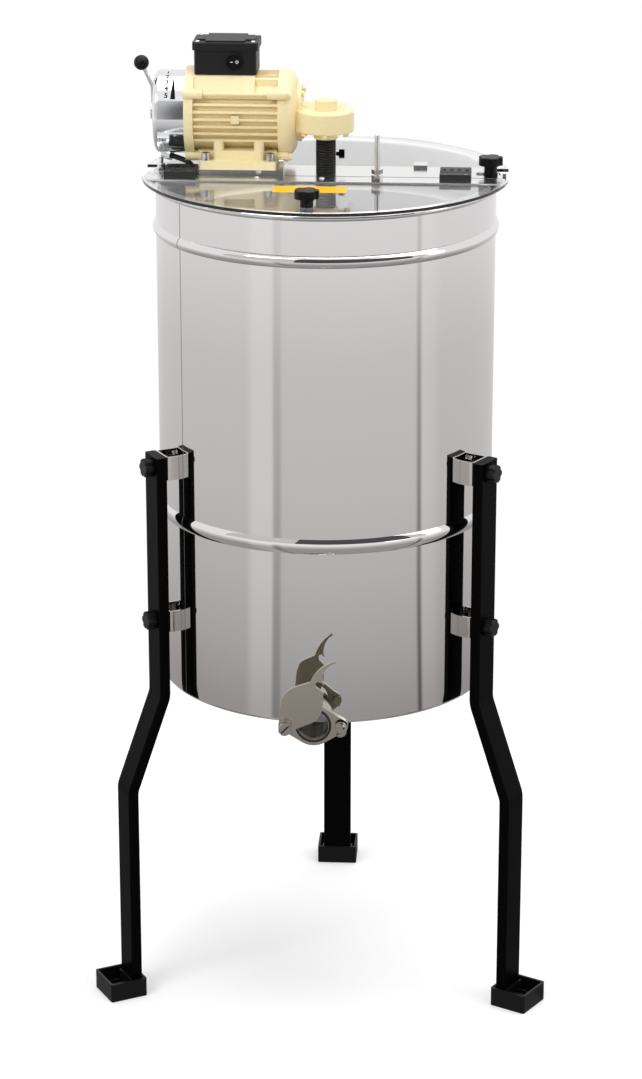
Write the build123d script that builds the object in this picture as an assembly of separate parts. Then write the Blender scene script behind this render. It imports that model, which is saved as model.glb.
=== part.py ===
from build123d import *
import os
from math import asin, ceil, cos, degrees, pi, radians, sin, sqrt

# Radial honey extractor: a stainless drum on three bent legs, with a honey gate, a crossbar that
# carries a foot mounted motor with a worm head, a hinged clear lid and a basket for eight frames.
# Millimetres. The origin is on the floor under the drum's axis, +Z is up and the gate faces -Y.

# Drum
DRUM_RADIUS = 225.0
DRUM_WALL = 1.0
DRUM_BOTTOM = 430.0
RIM_TOP = 1120.0
RIM_ROLL_DIAMETER = 9.0
PAN_CORNER_RADIUS = 8.0
PAN_SKIRT = 22.0
WALL_LAP = 6.0
UPPER_BEAD_Z = 1057.0
UPPER_BEAD_HEIGHT = 16.0
UPPER_BEAD_DEPTH = 4.5
MID_BEAD_Z = 678.0
MID_BEAD_HEIGHT = 20.0
MID_BEAD_DEPTH = 3.2
SEAM_CLEARANCE = 0.05

# Legs, feet and brackets
LEG_ANGLES = (210.0, 330.0, 90.0)
LEG_NAMES = ("left", "right", "rear")
LEG_WIDTH = 40.0
LEG_DEPTH = 15.0
LEG_WALL = 1.5
LEG_CORNER = 2.25
LEG_STANDOFF = 18.5
LEG_TOP = 769.0
LEG_BEND_TOP = 431.0
LEG_BEND_BOTTOM = 302.0
LEG_SPLAY = 49.5
LEG_BEND_RADIUS = 30.0
FOOT_WIDTH = 57.6
FOOT_LENGTH = 53.3
FOOT_HEIGHT = 26.0
FOOT_WALL = 3.0
FOOT_BASE = 4.0
FOOT_RIB = 2.0
FOOT_RIB_HEIGHT = 9.0
FOOT_RIB_RATIO = 0.6
FOOT_CLEARANCE = 0.15
BRACKET_WIDTH = 38.0
BRACKET_SHEET = 2.5
BRACKET_BEND = 5.0
BRACKETS = ((753.0, 32.0), (538.5, 29.0))
LEG_BOLT_DIAMETER = 8.0
LEG_BOLT_CLEARANCE = 0.2
LEG_NUT_ACROSS = 13.0
LEG_NUT_HEIGHT = 6.5
CAP_DIAMETER = 25.0
CAP_HEIGHT = 12.0
CAP_BOLT_DEPTH = 7.0
CAP_BORE_GAP = 0.3
CAP_LOBES = 6

# Honey gate
GATE_BORE = 40.0
GATE_FACE = 48.0
OUTLET_DROP = 4.0
PIPE_WALL = 1.5
PIPE_REACH = 40.0
SOCKET_WALL = 3.5
SOCKET_LENGTH = 26.0
FLANGE_RADIUS = 28.0
FLANGE_THICKNESS = 8.0
GATE_STUD_SPACING = 73.0
GATE_EAR_RADIUS = 9.0
GATE_STUD_DIAMETER = 8.0
GATE_NUT_ACROSS = 13.0
GATE_NUT_HEIGHT = 6.5
SEAL_INNER = 20.6
SEAL_OUTER = 23.8
SEAL_DEPTH = 3.0
PLATE_RADIUS = 27.0
PLATE_THICKNESS = 4.7
PLATE_GAP = 0.3
PLATE_REST_ANGLE = 53.0
PLATE_HOOK_RADIUS = 7.0
PLATE_HOOK_SLOT = 9.0
HANDLE_ROOT = 24.0
HANDLE_BACK = ((26.0, 9.0), (52.0, 12.4), (76.0, 2.8))
HANDLE_FRONT = ((75.0, 0.4), (58.0, 5.4), (43.0, -1.5))
THUMB_NUT_DIAMETER = 16.0
THUMB_NUT_LENGTH = 14.0
THUMB_NUT_NECK = 12.0
THUMB_GROOVE = 2.0
THUMB_GROOVE_UP = 4.9
SCREW_SLOT = 2.0
SCREW_SLOT_DEPTH = 2.5
RUNNING_CLEARANCE = 0.05
NUT_GAP = 0.3

# Crossbar and its clamps
BAR_WIDTH = 65.0
BAR_SHEET = 3.0
BAR_FLANGE = 16.0
BAR_FLANGE_INSET = 12.0
BAR_TAB_WIDTH = 20.0
BAR_TAB_LAP = 18.0
BAR_END_INSET = 7.0
CLAMP_INSET = 8.0
CLAMP_Y = -8.0
CLAMP_SCREW = 6.0
CLAMP_WASHER = 19.0
CLAMP_WASHER_HEIGHT = 5.0
BAR_LUG_SHEET = 4.0
BAR_LUG_WIDTH = 26.0
BAR_LUG_DROP = 9.0
BAR_LUG_LEG = 18.0
BAR_LUG_REACH = 17.0
END_PAD_LENGTH = 4.5
END_PAD_WALL = 1.5
WING_SHEET = 2.0
WING_SPAN = 23.0
END_NUT_ACROSS = 11.0
END_NUT_HEIGHT = 5.0
END_STUD_ABOVE = 20.0
KNOB_DIAMETER = 32.0
KNOB_HEIGHT = 11.0
KNOB_NECK = 17.0
KNOB_NECK_HEIGHT = 11.0
KNOB_LOBES = 5
KNOB_LOBE_CUT = 5.0
LOBE_OUT_RATIO = 0.45
SHAFT_HOLE = 23.0

# Lids and hinges
LID_OVERHANG = 18.0
LID_THICKNESS = 4.0
LID_REST_GAP = 0.3
LID_GAP = 2.5
STRIP_WIDTH = 31.5
STRIP_THICKNESS = 2.0
STRIP_END_INSET = 4.0
HINGE_INSETS = (28.0, 45.5)
HINGE_WIDTH = 41.0
HINGE_BAR_DEPTH = 30.0
HINGE_LID_DEPTH = 17.0
HINGE_LEAF = 8.0
HINGE_KNUCKLE = 8.6
HINGE_PIN = 4.0
HINGE_KNUCKLES = 5
HINGE_SIDE_GAP = 0.3
HINGE_WEB_LAP = 1.0
HINGE_SCREW = 7.0
HINGE_SCREW_SPACING = 27.0
HINGE_SCREW_DEPTH = 2.0
HINGE_POCKETS = 4
HINGE_POCKET_PITCH = 10.0
HINGE_POCKET = (5.0, 7.0, 4.0)
LID_KNOB_X = -12.0
LID_KNOB_INSET = 39.0
LID_KNOB_NECK_HEIGHT = 11.0
STOP_ROD_X = 70.0
STOP_ROD_Y = -50.0
STOP_ROD_DIAMETER = 7.0
STOP_ROD_HEIGHT = 60.0
STOP_ROD_NUT_ACROSS = 13.0
STOP_ROD_NUT_HEIGHT = 6.0
REAR_CLIP_X = 124.0
CLIP_WIDTH = 18.0
CLIP_DEPTH = 22.0
CLIP_SHEET = 4.0

# Motor, on its plate
MOTOR_Y = 28.0
MOTOR_CLEARANCE = 14.5
PLATE_STEEL = 6.0
PLATE_INSETS = (5.0, -2.0)
PLATE_FRONT_INSET = 2.0
PLATE_BACK_MARGIN = 4.0
PLATE_UPTURN = 14.0
PLATE_UPTURN_WIDTH = 18.0
PLATE_UPTURN_SLOT = 6.0
STATOR_INSET = 52.0
STATOR_END = -62.0
STATOR_CORE = 50.0
FIN_RADIUS = 57.5
FIN_PITCH = 9.6
FIN_THICKNESS = 3.2
FIN_COUNT = 7
FIN_BOSS = 5.28
ROTOR_BORE = 33.0
SHIELD_THICKNESS = 12.0
SHIELD_LIP = 2.5
BELL_LENGTH = 23.0
BELL_MOUTH_RADIUS = 40.0
BELL_LAND = 2.0
BELL_WEB = 4.0
LUG_HIGH = 32.0
LUG_LOW = 58.0
LUG_RISE = 4.5
LUG_DIAMETER = 13.0
TIE_BOLT = 5.0
FOOT_PAD_INSETS = (8.0, 2.0)
FOOT_PAD_THICKNESS = 11.0
FOOT_SPAN = 116.0
FOOT_PAD_DEPTH = 30.0
FOOT_PAD_CORNER = 3.0
FOOT_LIFT = 1.0
FOOT_POST_INSETS = (33.0, 25.0)
FOOT_POST_DIAMETER = 14.0
FOOT_WEB_INSETS = (31.0, 25.5)
FOOT_WEB_INSET = 7.0
FOOT_WEB_HEIGHT = 13.0
FOOT_WALL_INSET = 16.5
FOOT_WALL_HEIGHT = 10.5
FOOT_BOLT_INSET = 8.0
FOOT_BOLT_DIAMETER = 7.0
FOOT_BOLT_HEAD = 11.0
FOOT_BOLT_HEAD_HEIGHT = 8.0
FOOT_WASHER = 14.0
FOOT_WASHER_HEIGHT = 2.0
BEARING_OUTER = 35.0
BEARING_INNER = 15.0
BEARING_WIDTH = 11.0
SHAFT_ROOM = 3.0
ROTOR_RADIUS = 32.5
ROTOR_MARGIN = 12.0

# Terminal box and switch
BOX_LENGTH = 82.0
BOX_DEPTH = 58.0
BOX_BOTTOM = 54.0
BOX_HEIGHT = 32.0
BOX_LID_HEIGHT = 11.0
BOX_LID_LIP = 2.5
BOX_LID_STEP = 2.0
BOX_LID_CORNER = 15.0
BOX_CORNER = 4.0
BOX_WALL = 2.5
PEDESTAL_INSET = 2.0
SWITCH_INSET = 29.0
SWITCH_DROP = 14.5
BEZEL_DIAMETER = 23.0
BEZEL_HEIGHT = 3.0
SWITCH_BODY = 20.0
SWITCH_BODY_DEPTH = 9.0
ROCKER_DIAMETER = 17.6
ROCKER_DEPTH = 5.0
ROCKER_TILT = 8.0
ROCKER_CLEARANCE = 0.5
ROCKER_PIN = 2.4
ROCKER_PIN_SPAN = 19.4

# Variator and speed lever
VARIATOR_LENGTH = 42.0
VARIATOR_STEP = 5.3
VARIATOR_EDGE = 7.0
VARIATOR_WALL = 3.0
VARIATOR_WEB = 8.0
LEVER_HUB = 22.0
LEVER_HUB_THICKNESS = 6.0
LEVER_PIN = 10.0
LEVER_GAP = 0.4
LEVER_ROD = 5.0
LEVER_LEAN = 14.0
LEVER_ARM = 36.0
LEVER_REACH = 69.0
LEVER_CRANK = 13.0
LEVER_BEND = 12.0
BALL_DIAMETER = 20.0

# Control lead from the variator to the gland on the crossbar
LEAD_DIAMETER = 7.0
LEAD_SLOPE = 4.5
LEAD_BEND = 7.0
LEAD_START_BACK = 21.0
LEAD_START_Y = 20.0
LEAD_RISE = 1.5
LEAD_GLAND_BACK = 5.0
LEAD_GLAND_Y = 6.0
GLAND_DIAMETER = 14.0
GLAND_HEIGHT = 2.0
GLAND_HOLE = 10.0
BOSS_DIAMETER = 13.0
BOSS_LENGTH = 13.0

# Worm head and drive shaft
HEAD_RADIUS = 37.0
HEAD_HEIGHT = 28.0
HEAD_DROP = 4.5
HEAD_WALL = 5.0
HEAD_CAP_DIAMETER = 29.0
HEAD_CAP_HEIGHT = 14.0
HEAD_NECK_DIAMETER = 32.0
HEAD_NECK_HEIGHT = 9.5
HEAD_FLANGE_RADIUS = 38.0
HEAD_FLANGE_THICKNESS = 6.0
HEAD_FLANGE_CIRCLE = 32.0
HEAD_FLANGE_TURN = 60.0
HEAD_BOLTS = 6
HEAD_BOLT_CIRCLE = 31.5
HEAD_BOLT_DIAMETER = 5.0
HEX_RATIO = 1.4
HEAD_BOLT_HEIGHT = 4.0
HEAD_ROOM = 1.0
TUNNEL_REACH = 24.05
WORM_PITCH_RADIUS = 8.0
WORM_TIP_RADIUS = 9.6
WORM_ROOT_RADIUS = 5.8
WORM_LENGTH = 26.0
WORM_STARTS = 4
WORM_THREAD = 2.1
WORM_NECK = 3.0
WORM_ROOM = 0.6
WORM_ROOT_RATIO = 0.96
THREAD_FOOT_RATIO = 1.1
THREAD_CREST_RATIO = 0.75
STEPS_PER_TURN = 12
WHEEL_TEETH = 20
WHEEL_TOOTH = 2.3
TOOTH_FOOT_RATIO = 1.2
TOOTH_CREST_RATIO = 0.6
WHEEL_FACE = 6.0
WHEEL_TIP_GAP = 0.5
OUTPUT_SHAFT = 16.0
SLEEVE_DIAMETER = 27.0
SLEEVE_ROOT = 22.5
SLEEVE_BORE = 18.0
SLEEVE_RIBS = 13
RIB_RISE_RATIO = 0.25
RIB_CREST_RATIO = 0.6
RIB_FALL_RATIO = 0.85
SLEEVE_GAP = 0.3
SLEEVE_SCREW_UP = 23.0
SLEEVE_SCREW_DIAMETER = 10.5
SLEEVE_SCREW_LENGTH = 11.0

# Basket
BASKET_SHAFT = 20.0
COUPLING_DIAMETER = 34.0
COUPLING_LENGTH = 44.0
COUPLING_DROP = 36.0
COUPLING_CHAMFER = 1.5
SHAFT_END_GAP = 1.0
LOWER_WHEEL_Z = 540.0
UPPER_WHEEL_Z = 1020.0
BASKET_GAP = 20.0
BASKET_INNER_RADIUS = 58.0
BASKET_BAR = 7.0
SPOKE_DIAMETER = 6.0
WHEEL_HUB = 40.0
WHEEL_HUB_HEIGHT = 22.0
FRAME_SLOTS = 8
FRAME_SLOT_WIDTH = 38.0
GUIDE_ROD = 6.0
SEAT_DIAMETER = 60.0
SEAT_HEIGHT = 32.0
SEAT_BORE_DEPTH = 26.0
BEARING_BALL = 10.0

# Places worked out from the sizes above
CLAMP_RADIUS = DRUM_RADIUS - CLAMP_INSET
LID_RADIUS = DRUM_RADIUS + LID_OVERHANG
BAR_END = LID_RADIUS - BAR_END_INSET
BASKET_RADIUS = DRUM_RADIUS - BASKET_GAP
HINGE_X = (HINGE_INSETS[0] - CLAMP_RADIUS, CLAMP_RADIUS - HINGE_INSETS[1])
LID_KNOB_Y = LID_KNOB_INSET - LID_RADIUS
LID_BOTTOM = RIM_TOP + LID_REST_GAP
LID_TOP = LID_BOTTOM + LID_THICKNESS
BAR_TOP = LID_TOP + STRIP_THICKNESS
PAN_RADIUS = DRUM_RADIUS - DRUM_WALL - SEAM_CLEARANCE
FLOOR_TOP = DRUM_BOTTOM + DRUM_WALL
PIPE_RADIUS = GATE_BORE / 2 + PIPE_WALL
GATE_Z = FLOOR_TOP + PIPE_RADIUS - OUTLET_DROP
OUTLET_START = PAN_RADIUS - PAN_CORNER_RADIUS
GATE_FACE_Y = -(DRUM_RADIUS + GATE_FACE)
FLANGE_BACK_Y = GATE_FACE_Y + FLANGE_THICKNESS
PLATE_FRONT_Y = GATE_FACE_Y - PLATE_GAP - PLATE_THICKNESS
STUD_X = GATE_STUD_SPACING / 2
LEG_INNER = DRUM_RADIUS + LEG_STANDOFF
LEG_OUTER = LEG_INNER + LEG_DEPTH
MOTOR_HEIGHT = FIN_RADIUS + MOTOR_CLEARANCE
MOTOR_Z = BAR_TOP + MOTOR_HEIGHT
STATOR_X = (STATOR_INSET - DRUM_RADIUS, STATOR_END)
PLATE_X = (STATOR_X[0] + PLATE_INSETS[0], STATOR_X[1] - PLATE_INSETS[1])
FOOT_PAD_X = (STATOR_X[0] + FOOT_PAD_INSETS[0], STATOR_X[1] - FOOT_PAD_INSETS[1])
FOOT_POSTS_X = (STATOR_X[0] + FOOT_POST_INSETS[0], STATOR_X[1] - FOOT_POST_INSETS[1])
FOOT_WEB_X = (STATOR_X[0] + FOOT_WEB_INSETS[0], STATOR_X[1] - FOOT_WEB_INSETS[1])
PLATE_BACK = MOTOR_Y + FOOT_SPAN / 2 + PLATE_BACK_MARGIN
LUG_RADIUS = FIN_RADIUS + LUG_RISE
SHIELD_RADIUS = FIN_RADIUS + SHIELD_LIP
VARIATOR_RADIUS = SHIELD_RADIUS - VARIATOR_STEP
BOX_X = (STATOR_X[0], STATOR_X[0] + BOX_LENGTH)
SWITCH_X = BOX_X[1] - SWITCH_INSET
LEAD_START_X = STATOR_X[0] - SHIELD_THICKNESS - LEAD_START_BACK
LEAD_START_DROP = SHIELD_RADIUS - LEAD_RISE
LEAD_GLAND_X = STATOR_X[0] - LEAD_GLAND_BACK
HEAD_BOTTOM = MOTOR_Z - HEAD_HEIGHT / 2 - HEAD_DROP
HEAD_TOP = HEAD_BOTTOM + HEAD_HEIGHT
NECK_BOTTOM = HEAD_BOTTOM - HEAD_NECK_HEIGHT
TAB_TOP = RIM_TOP + BAR_SHEET
HALF_BAR = BAR_WIDTH / 2
LID_EDGE_Y = HALF_BAR + LID_GAP
HINGE_Y = -(HALF_BAR + LID_GAP / 2)
HINGE_Z = BAR_TOP + HINGE_KNUCKLE / 2 + HINGE_SIDE_GAP
WHEEL_PITCH_RADIUS = MOTOR_Y - WORM_PITCH_RADIUS
TOOTH_PITCH = 2 * pi * WHEEL_PITCH_RADIUS / WHEEL_TEETH
WORM_LEAD = WORM_STARTS * TOOTH_PITCH
COUPLING_MIDDLE = RIM_TOP - COUPLING_DROP
SEAT_BORE_FLOOR = FLOOR_TOP + SEAT_HEIGHT - SEAT_BORE_DEPTH
SHAFT_FOOT = SEAT_BORE_FLOOR + BEARING_BALL + SEAM_CLEARANCE

FROM_BASE = (Align.CENTER, Align.CENTER, Align.MIN)
GATE_VIEW = Plane(origin=(0, 0, GATE_Z), x_dir=(1, 0, 0), z_dir=(0, -1, 0))


def save(name, *solids):
    """Write one sub-part, which may be a group of like solids, to its own file."""
    shape = solids[0] if len(solids) == 1 else Compound(list(solids))
    export_step(shape, f"parts/{name}.step")


def rod(start, end, diameter):
    """Round bar between two points."""
    run = Vector(*end) - Vector(*start)
    return Plane(origin=start, z_dir=run) * Cylinder(diameter / 2, run.length, align=FROM_BASE)


def ring(start, end, outer, inner):
    """Round tube between two points, by its two diameters."""
    return rod(start, end, outer) - rod(start, end, inner)


def slab(x, y, z):
    """Block between two limits on each axis."""
    middle = Pos((x[0] + x[1]) / 2, (y[0] + y[1]) / 2, (z[0] + z[1]) / 2)
    return middle * Box(abs(x[1] - x[0]), abs(y[1] - y[0]), abs(z[1] - z[0]))


def hex_bar(start, end, across):
    """Six sided bar between two points, by its width across flats."""
    run = Vector(*end) - Vector(*start)
    face = Plane(origin=start, z_dir=run) * RegularPolygon(across / 2, 6, major_radius=False)
    return extrude(face, run.length)


def around(angle, shape):
    """Turn a shape that was built along +X to an angle about the drum's axis."""
    return Rot(0, 0, angle) * shape


def lobed(diameter, lobes, cut):
    """Outline of a hand knob with scalloped lobes."""
    outline = Circle(diameter / 2)
    for step in range(lobes):
        turn = radians(360 * (step + 0.5) / lobes)
        reach = diameter / 2 + cut * LOBE_OUT_RATIO
        outline -= Pos(reach * cos(turn), reach * sin(turn)) * Circle(cut)
    return outline


def drum_wall():
    """Rolled sheet with two round beads and a rolled rim."""
    rim_middle = RIM_TOP - RIM_ROLL_DIAMETER / 2

    def bead(radius, middle, height, depth):
        return ThreePointArc(
            (radius, middle - height / 2), (radius + depth, middle), (radius, middle + height / 2)
        )

    def side(radius):
        mid = bead(radius, MID_BEAD_Z, MID_BEAD_HEIGHT, MID_BEAD_DEPTH)
        upper = bead(radius, UPPER_BEAD_Z, UPPER_BEAD_HEIGHT, UPPER_BEAD_DEPTH)
        foot = Line((radius, DRUM_BOTTOM + WALL_LAP), mid @ 0)
        return foot + mid + Line(mid @ 1, upper @ 0) + upper + Line(upper @ 1, (radius, rim_middle))

    outer = side(DRUM_RADIUS)
    inner = side(DRUM_RADIUS - DRUM_WALL)
    bottom = Line((DRUM_RADIUS - DRUM_WALL, DRUM_BOTTOM + WALL_LAP), (DRUM_RADIUS, DRUM_BOTTOM + WALL_LAP))
    top = Line((DRUM_RADIUS - DRUM_WALL, rim_middle), (DRUM_RADIUS, rim_middle))
    sheet = revolve(Plane.XZ * make_face(outer.edges() + inner.edges() + [bottom, top]), Axis.Z)
    roll_radius = DRUM_RADIUS - DRUM_WALL / 2 + RIM_ROLL_DIAMETER / 2
    roll = Pos(0, 0, rim_middle) * Torus(roll_radius, RIM_ROLL_DIAMETER / 2)
    return sheet + roll - outlet_hole()


def outlet_hole():
    """Hole for the outlet pipe at the foot of the wall and through the pan's corner."""
    hole = 2 * (PIPE_RADIUS + SEAM_CLEARANCE)
    return rod((0, -OUTLET_START, GATE_Z), (0, -2 * DRUM_RADIUS, GATE_Z), hole)


def pan_cup(radius, corner, bottom, height):
    """Upright cup shape with a rounded lower corner."""
    body = Pos(0, 0, bottom) * Cylinder(radius, height, align=FROM_BASE)
    return fillet(body.edges().group_by(Axis.Z)[0], corner)


def drum_room(height):
    """The pan's hollow, up to a height above the floor."""
    return pan_cup(PAN_RADIUS - DRUM_WALL, PAN_CORNER_RADIUS - DRUM_WALL, FLOOR_TOP, height)


def drum_floor():
    """Pressed pan whose skirt laps inside the wall."""
    pan = pan_cup(PAN_RADIUS, PAN_CORNER_RADIUS, DRUM_BOTTOM, PAN_SKIRT)
    return pan - drum_room(PAN_SKIRT) - outlet_hole()


def leg_tube():
    """Flat tube, closed at the top and bent outwards below the drum, with holes for its two bolts."""
    middle = LEG_INNER + LEG_DEPTH / 2
    path = FilletPolyline(
        (middle + LEG_SPLAY, 0, FOOT_BASE),
        (middle + LEG_SPLAY, 0, LEG_BEND_BOTTOM),
        (middle, 0, LEG_BEND_TOP),
        (middle, 0, LEG_TOP),
        radius=LEG_BEND_RADIUS,
    )
    section = RectangleRounded(LEG_WIDTH, LEG_DEPTH, LEG_CORNER)
    section -= Rectangle(LEG_WIDTH - 2 * LEG_WALL, LEG_DEPTH - 2 * LEG_WALL)
    start = Plane(origin=path @ 0, x_dir=(0, 1, 0), z_dir=path % 0)
    tube = sweep(start * section, path=path)
    inside = LEG_WIDTH / 2 - LEG_WALL
    lid_x = (LEG_INNER + LEG_WALL, LEG_OUTER - LEG_WALL)
    tube += slab(lid_x, (-inside, inside), (LEG_TOP - LEG_WALL, LEG_TOP))
    for height, _ in BRACKETS:
        hole = LEG_BOLT_DIAMETER + 2 * LEG_BOLT_CLEARANCE
        tube -= rod((DRUM_RADIUS, 0, height), (LEG_OUTER + LEG_DEPTH, 0, height), hole)
    return tube


def foot():
    """Open plastic tray with a collar that takes the end of the tube."""
    tube_low = LEG_INNER + LEG_SPLAY - FOOT_CLEARANCE
    tube_high = LEG_OUTER + LEG_SPLAY + FOOT_CLEARANCE
    inner = tube_low - FOOT_WALL
    outer = inner + FOOT_LENGTH
    half = FOOT_WIDTH / 2
    tube_half = LEG_WIDTH / 2 + FOOT_CLEARANCE
    tray = slab((inner, outer), (-half, half), (0, FOOT_HEIGHT))
    tray = fillet(tray.edges().filter_by(Axis.Z), FOOT_WALL)
    inside = half - FOOT_WALL
    tray -= slab((inner + FOOT_WALL, outer - FOOT_WALL), (-inside, inside), (FOOT_BASE, FOOT_HEIGHT))
    collar_top = FOOT_HEIGHT - FOOT_WALL
    collar = slab(
        (inner, tube_high + FOOT_RIB), (-tube_half - FOOT_RIB, tube_half + FOOT_RIB), (FOOT_BASE, collar_top)
    )
    collar -= slab((tube_low, tube_high), (-tube_half, tube_half), (FOOT_BASE, collar_top))
    tray += collar
    for side in (-1, 0, 1):
        place = side * tube_half * FOOT_RIB_RATIO
        tray += slab(
            (tube_high + FOOT_RIB / 2, outer - FOOT_WALL / 2),
            (place - FOOT_RIB / 2, place + FOOT_RIB / 2),
            (FOOT_BASE / 2, FOOT_BASE + FOOT_RIB_HEIGHT),
        )
    return tray


def leg_bracket(height, tall):
    """Bent strap that stands on the drum wall and backs the tube."""
    start = DRUM_RADIUS - BRACKET_WIDTH / 4
    half = BRACKET_WIDTH / 2
    strap = slab((start, LEG_INNER), (-half, half), (height - tall / 2, height + tall / 2))
    outer_edges = strap.edges().filter_by(Axis.Z).group_by(Axis.X)[-1]
    strap = fillet(outer_edges, BRACKET_BEND)
    inside = half - BRACKET_SHEET
    hollow = slab((start, LEG_INNER - BRACKET_SHEET), (-inside, inside), (height - tall, height + tall))
    hollow_edges = hollow.edges().filter_by(Axis.Z).group_by(Axis.X)[-1]
    strap -= fillet(hollow_edges, BRACKET_BEND - BRACKET_SHEET)
    strap -= Cylinder(DRUM_RADIUS + SEAM_CLEARANCE, 2 * RIM_TOP)
    hole = LEG_BOLT_DIAMETER + 2 * LEG_BOLT_CLEARANCE
    return strap - rod((DRUM_RADIUS, 0, height), (LEG_OUTER, 0, height), hole)


def leg_bolt(height):
    """Bolt through strap and tube, with its nut behind the strap."""
    nut_face = LEG_INNER - BRACKET_SHEET
    nut = hex_bar((nut_face - LEG_NUT_HEIGHT, 0, height), (nut_face, 0, height), LEG_NUT_ACROSS)
    shank_end = LEG_OUTER + CAP_BOLT_DEPTH
    return nut + rod((nut_face - LEG_NUT_HEIGHT, 0, height), (shank_end, 0, height), LEG_BOLT_DIAMETER)


def leg_cap(height):
    """Moulded cap nut on the outer face of the tube."""
    seat = Plane(origin=(LEG_OUTER, 0, height), x_dir=(0, 1, 0), z_dir=(1, 0, 0))
    cap = extrude(seat * lobed(CAP_DIAMETER, CAP_LOBES, CAP_DIAMETER / 7), CAP_HEIGHT)
    cap = chamfer(cap.faces().sort_by(Axis.X)[-1].edges(), CAP_HEIGHT / 8)
    bore = LEG_BOLT_DIAMETER + 2 * SEAM_CLEARANCE
    return cap - rod((LEG_OUTER, 0, height), (LEG_OUTER + CAP_BOLT_DEPTH + CAP_BORE_GAP, 0, height), bore)


def gate_sheet(sketch, near, far):
    """Extrude an outline, drawn as seen from the front, between two depths in front of the drum."""
    return extrude(GATE_VIEW.offset(near) * sketch, far - near)


def hull_of(*circles):
    """Outline stretched round circles given as (x, y, radius)."""
    edges = []
    for x, y, radius in circles:
        edges += (Pos(x, y) * Circle(radius)).edges()
    return make_hull(edges)


def outlet_pipe():
    """Short pipe welded into the wall, a little lower than the floor so that honey drains."""
    start = -(OUTLET_START + SEAM_CLEARANCE)
    end = -(DRUM_RADIUS + PIPE_REACH)
    pipe = ring((0, start, GATE_Z), (0, end, GATE_Z), 2 * PIPE_RADIUS, GATE_BORE)
    pipe += rod((0, start, GATE_Z), (0, start - PIPE_WALL, GATE_Z), 2 * PIPE_RADIUS)
    return pipe - drum_room(RIM_TOP)


def gate_body():
    """Flanged socket on the pipe, with an ear each side and a groove for the seal."""
    face = -GATE_FACE_Y
    outline = hull_of(
        (0, 0, FLANGE_RADIUS), (-STUD_X, 0, GATE_EAR_RADIUS), (STUD_X, 0, GATE_EAR_RADIUS)
    )
    body = gate_sheet(outline, face - FLANGE_THICKNESS, face)
    socket_radius = PIPE_RADIUS + SEAM_CLEARANCE
    socket_start = (0, FLANGE_BACK_Y + SOCKET_LENGTH, GATE_Z)
    socket_end = (0, FLANGE_BACK_Y, GATE_Z)
    body += rod(socket_start, socket_end, 2 * (socket_radius + SOCKET_WALL))
    body -= rod(socket_start, socket_end, 2 * socket_radius)
    body -= rod(socket_start, (0, GATE_FACE_Y, GATE_Z), GATE_BORE)
    body -= gate_sheet(Circle(SEAL_OUTER) - Circle(SEAL_INNER), face - SEAL_DEPTH, face)
    for side in (-STUD_X, STUD_X):
        hole = GATE_STUD_DIAMETER + 2 * SEAM_CLEARANCE
        body -= rod((side, socket_start[1], GATE_Z), (side, GATE_FACE_Y, GATE_Z), hole)
    return body


def gate_seal():
    """Seal ring in the groove, flush with the face."""
    section = Circle(SEAL_OUTER - SEAM_CLEARANCE) - Circle(SEAL_INNER + SEAM_CLEARANCE)
    return gate_sheet(section, -GATE_FACE_Y - SEAL_DEPTH, -GATE_FACE_Y)


def thumb_head(side, seat):
    """Grooved round head with a screwdriver slot."""
    outer = seat + THUMB_NUT_LENGTH
    groove = seat + THUMB_GROOVE_UP
    head = gate_sheet(Pos(side, 0) * Circle(THUMB_NUT_DIAMETER / 2), seat, outer)
    band = Circle(THUMB_NUT_DIAMETER) - Circle(THUMB_NUT_NECK / 2)
    head -= gate_sheet(Pos(side, 0) * band, groove, groove + THUMB_GROOVE)
    slot = Rot(0, 0, 45) * Rectangle(2 * THUMB_NUT_DIAMETER, SCREW_SLOT)
    return head - gate_sheet(Pos(side, 0) * slot, outer - SCREW_SLOT_DEPTH, outer)


def gate_stud(side, front):
    """Stud through an ear, held by a nut behind it."""
    back = -FLANGE_BACK_Y
    nut = Pos(side, 0) * RegularPolygon(GATE_NUT_ACROSS / 2, 6, major_radius=False)
    stud = gate_sheet(nut, back - GATE_NUT_HEIGHT, back)
    return stud + gate_sheet(Pos(side, 0) * Circle(GATE_STUD_DIAMETER / 2), back - GATE_NUT_HEIGHT, front)


def gate_plate():
    """Swinging plate: disc, pivot ear, hook for the clamp stud and a curved finger handle."""
    outline = hull_of((0, 0, PLATE_RADIUS), (-STUD_X, 0, GATE_EAR_RADIUS))
    outline += hull_of((0, 0, PLATE_RADIUS), (STUD_X, 0, PLATE_HOOK_RADIUS))
    back = ThreePointArc(*HANDLE_BACK)
    tip = Line(HANDLE_BACK[-1], HANDLE_FRONT[0])
    front = ThreePointArc(*HANDLE_FRONT)
    root = Polyline(HANDLE_FRONT[-1], (HANDLE_ROOT, 0), HANDLE_BACK[0])
    outline += make_face([back, tip, front] + root.edges())
    outline -= Pos(STUD_X, -PLATE_RADIUS / 2) * Rectangle(PLATE_HOOK_SLOT, PLATE_RADIUS)
    outline -= Pos(STUD_X, 0) * Circle(PLATE_HOOK_SLOT / 2)
    outline -= Pos(-STUD_X, 0) * Circle(GATE_STUD_DIAMETER / 2 + RUNNING_CLEARANCE)
    swung = Pos(-STUD_X, 0) * Rot(0, 0, PLATE_REST_ANGLE) * Pos(STUD_X, 0) * outline
    return gate_sheet(swung, -GATE_FACE_Y + PLATE_GAP, -PLATE_FRONT_Y)


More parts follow.
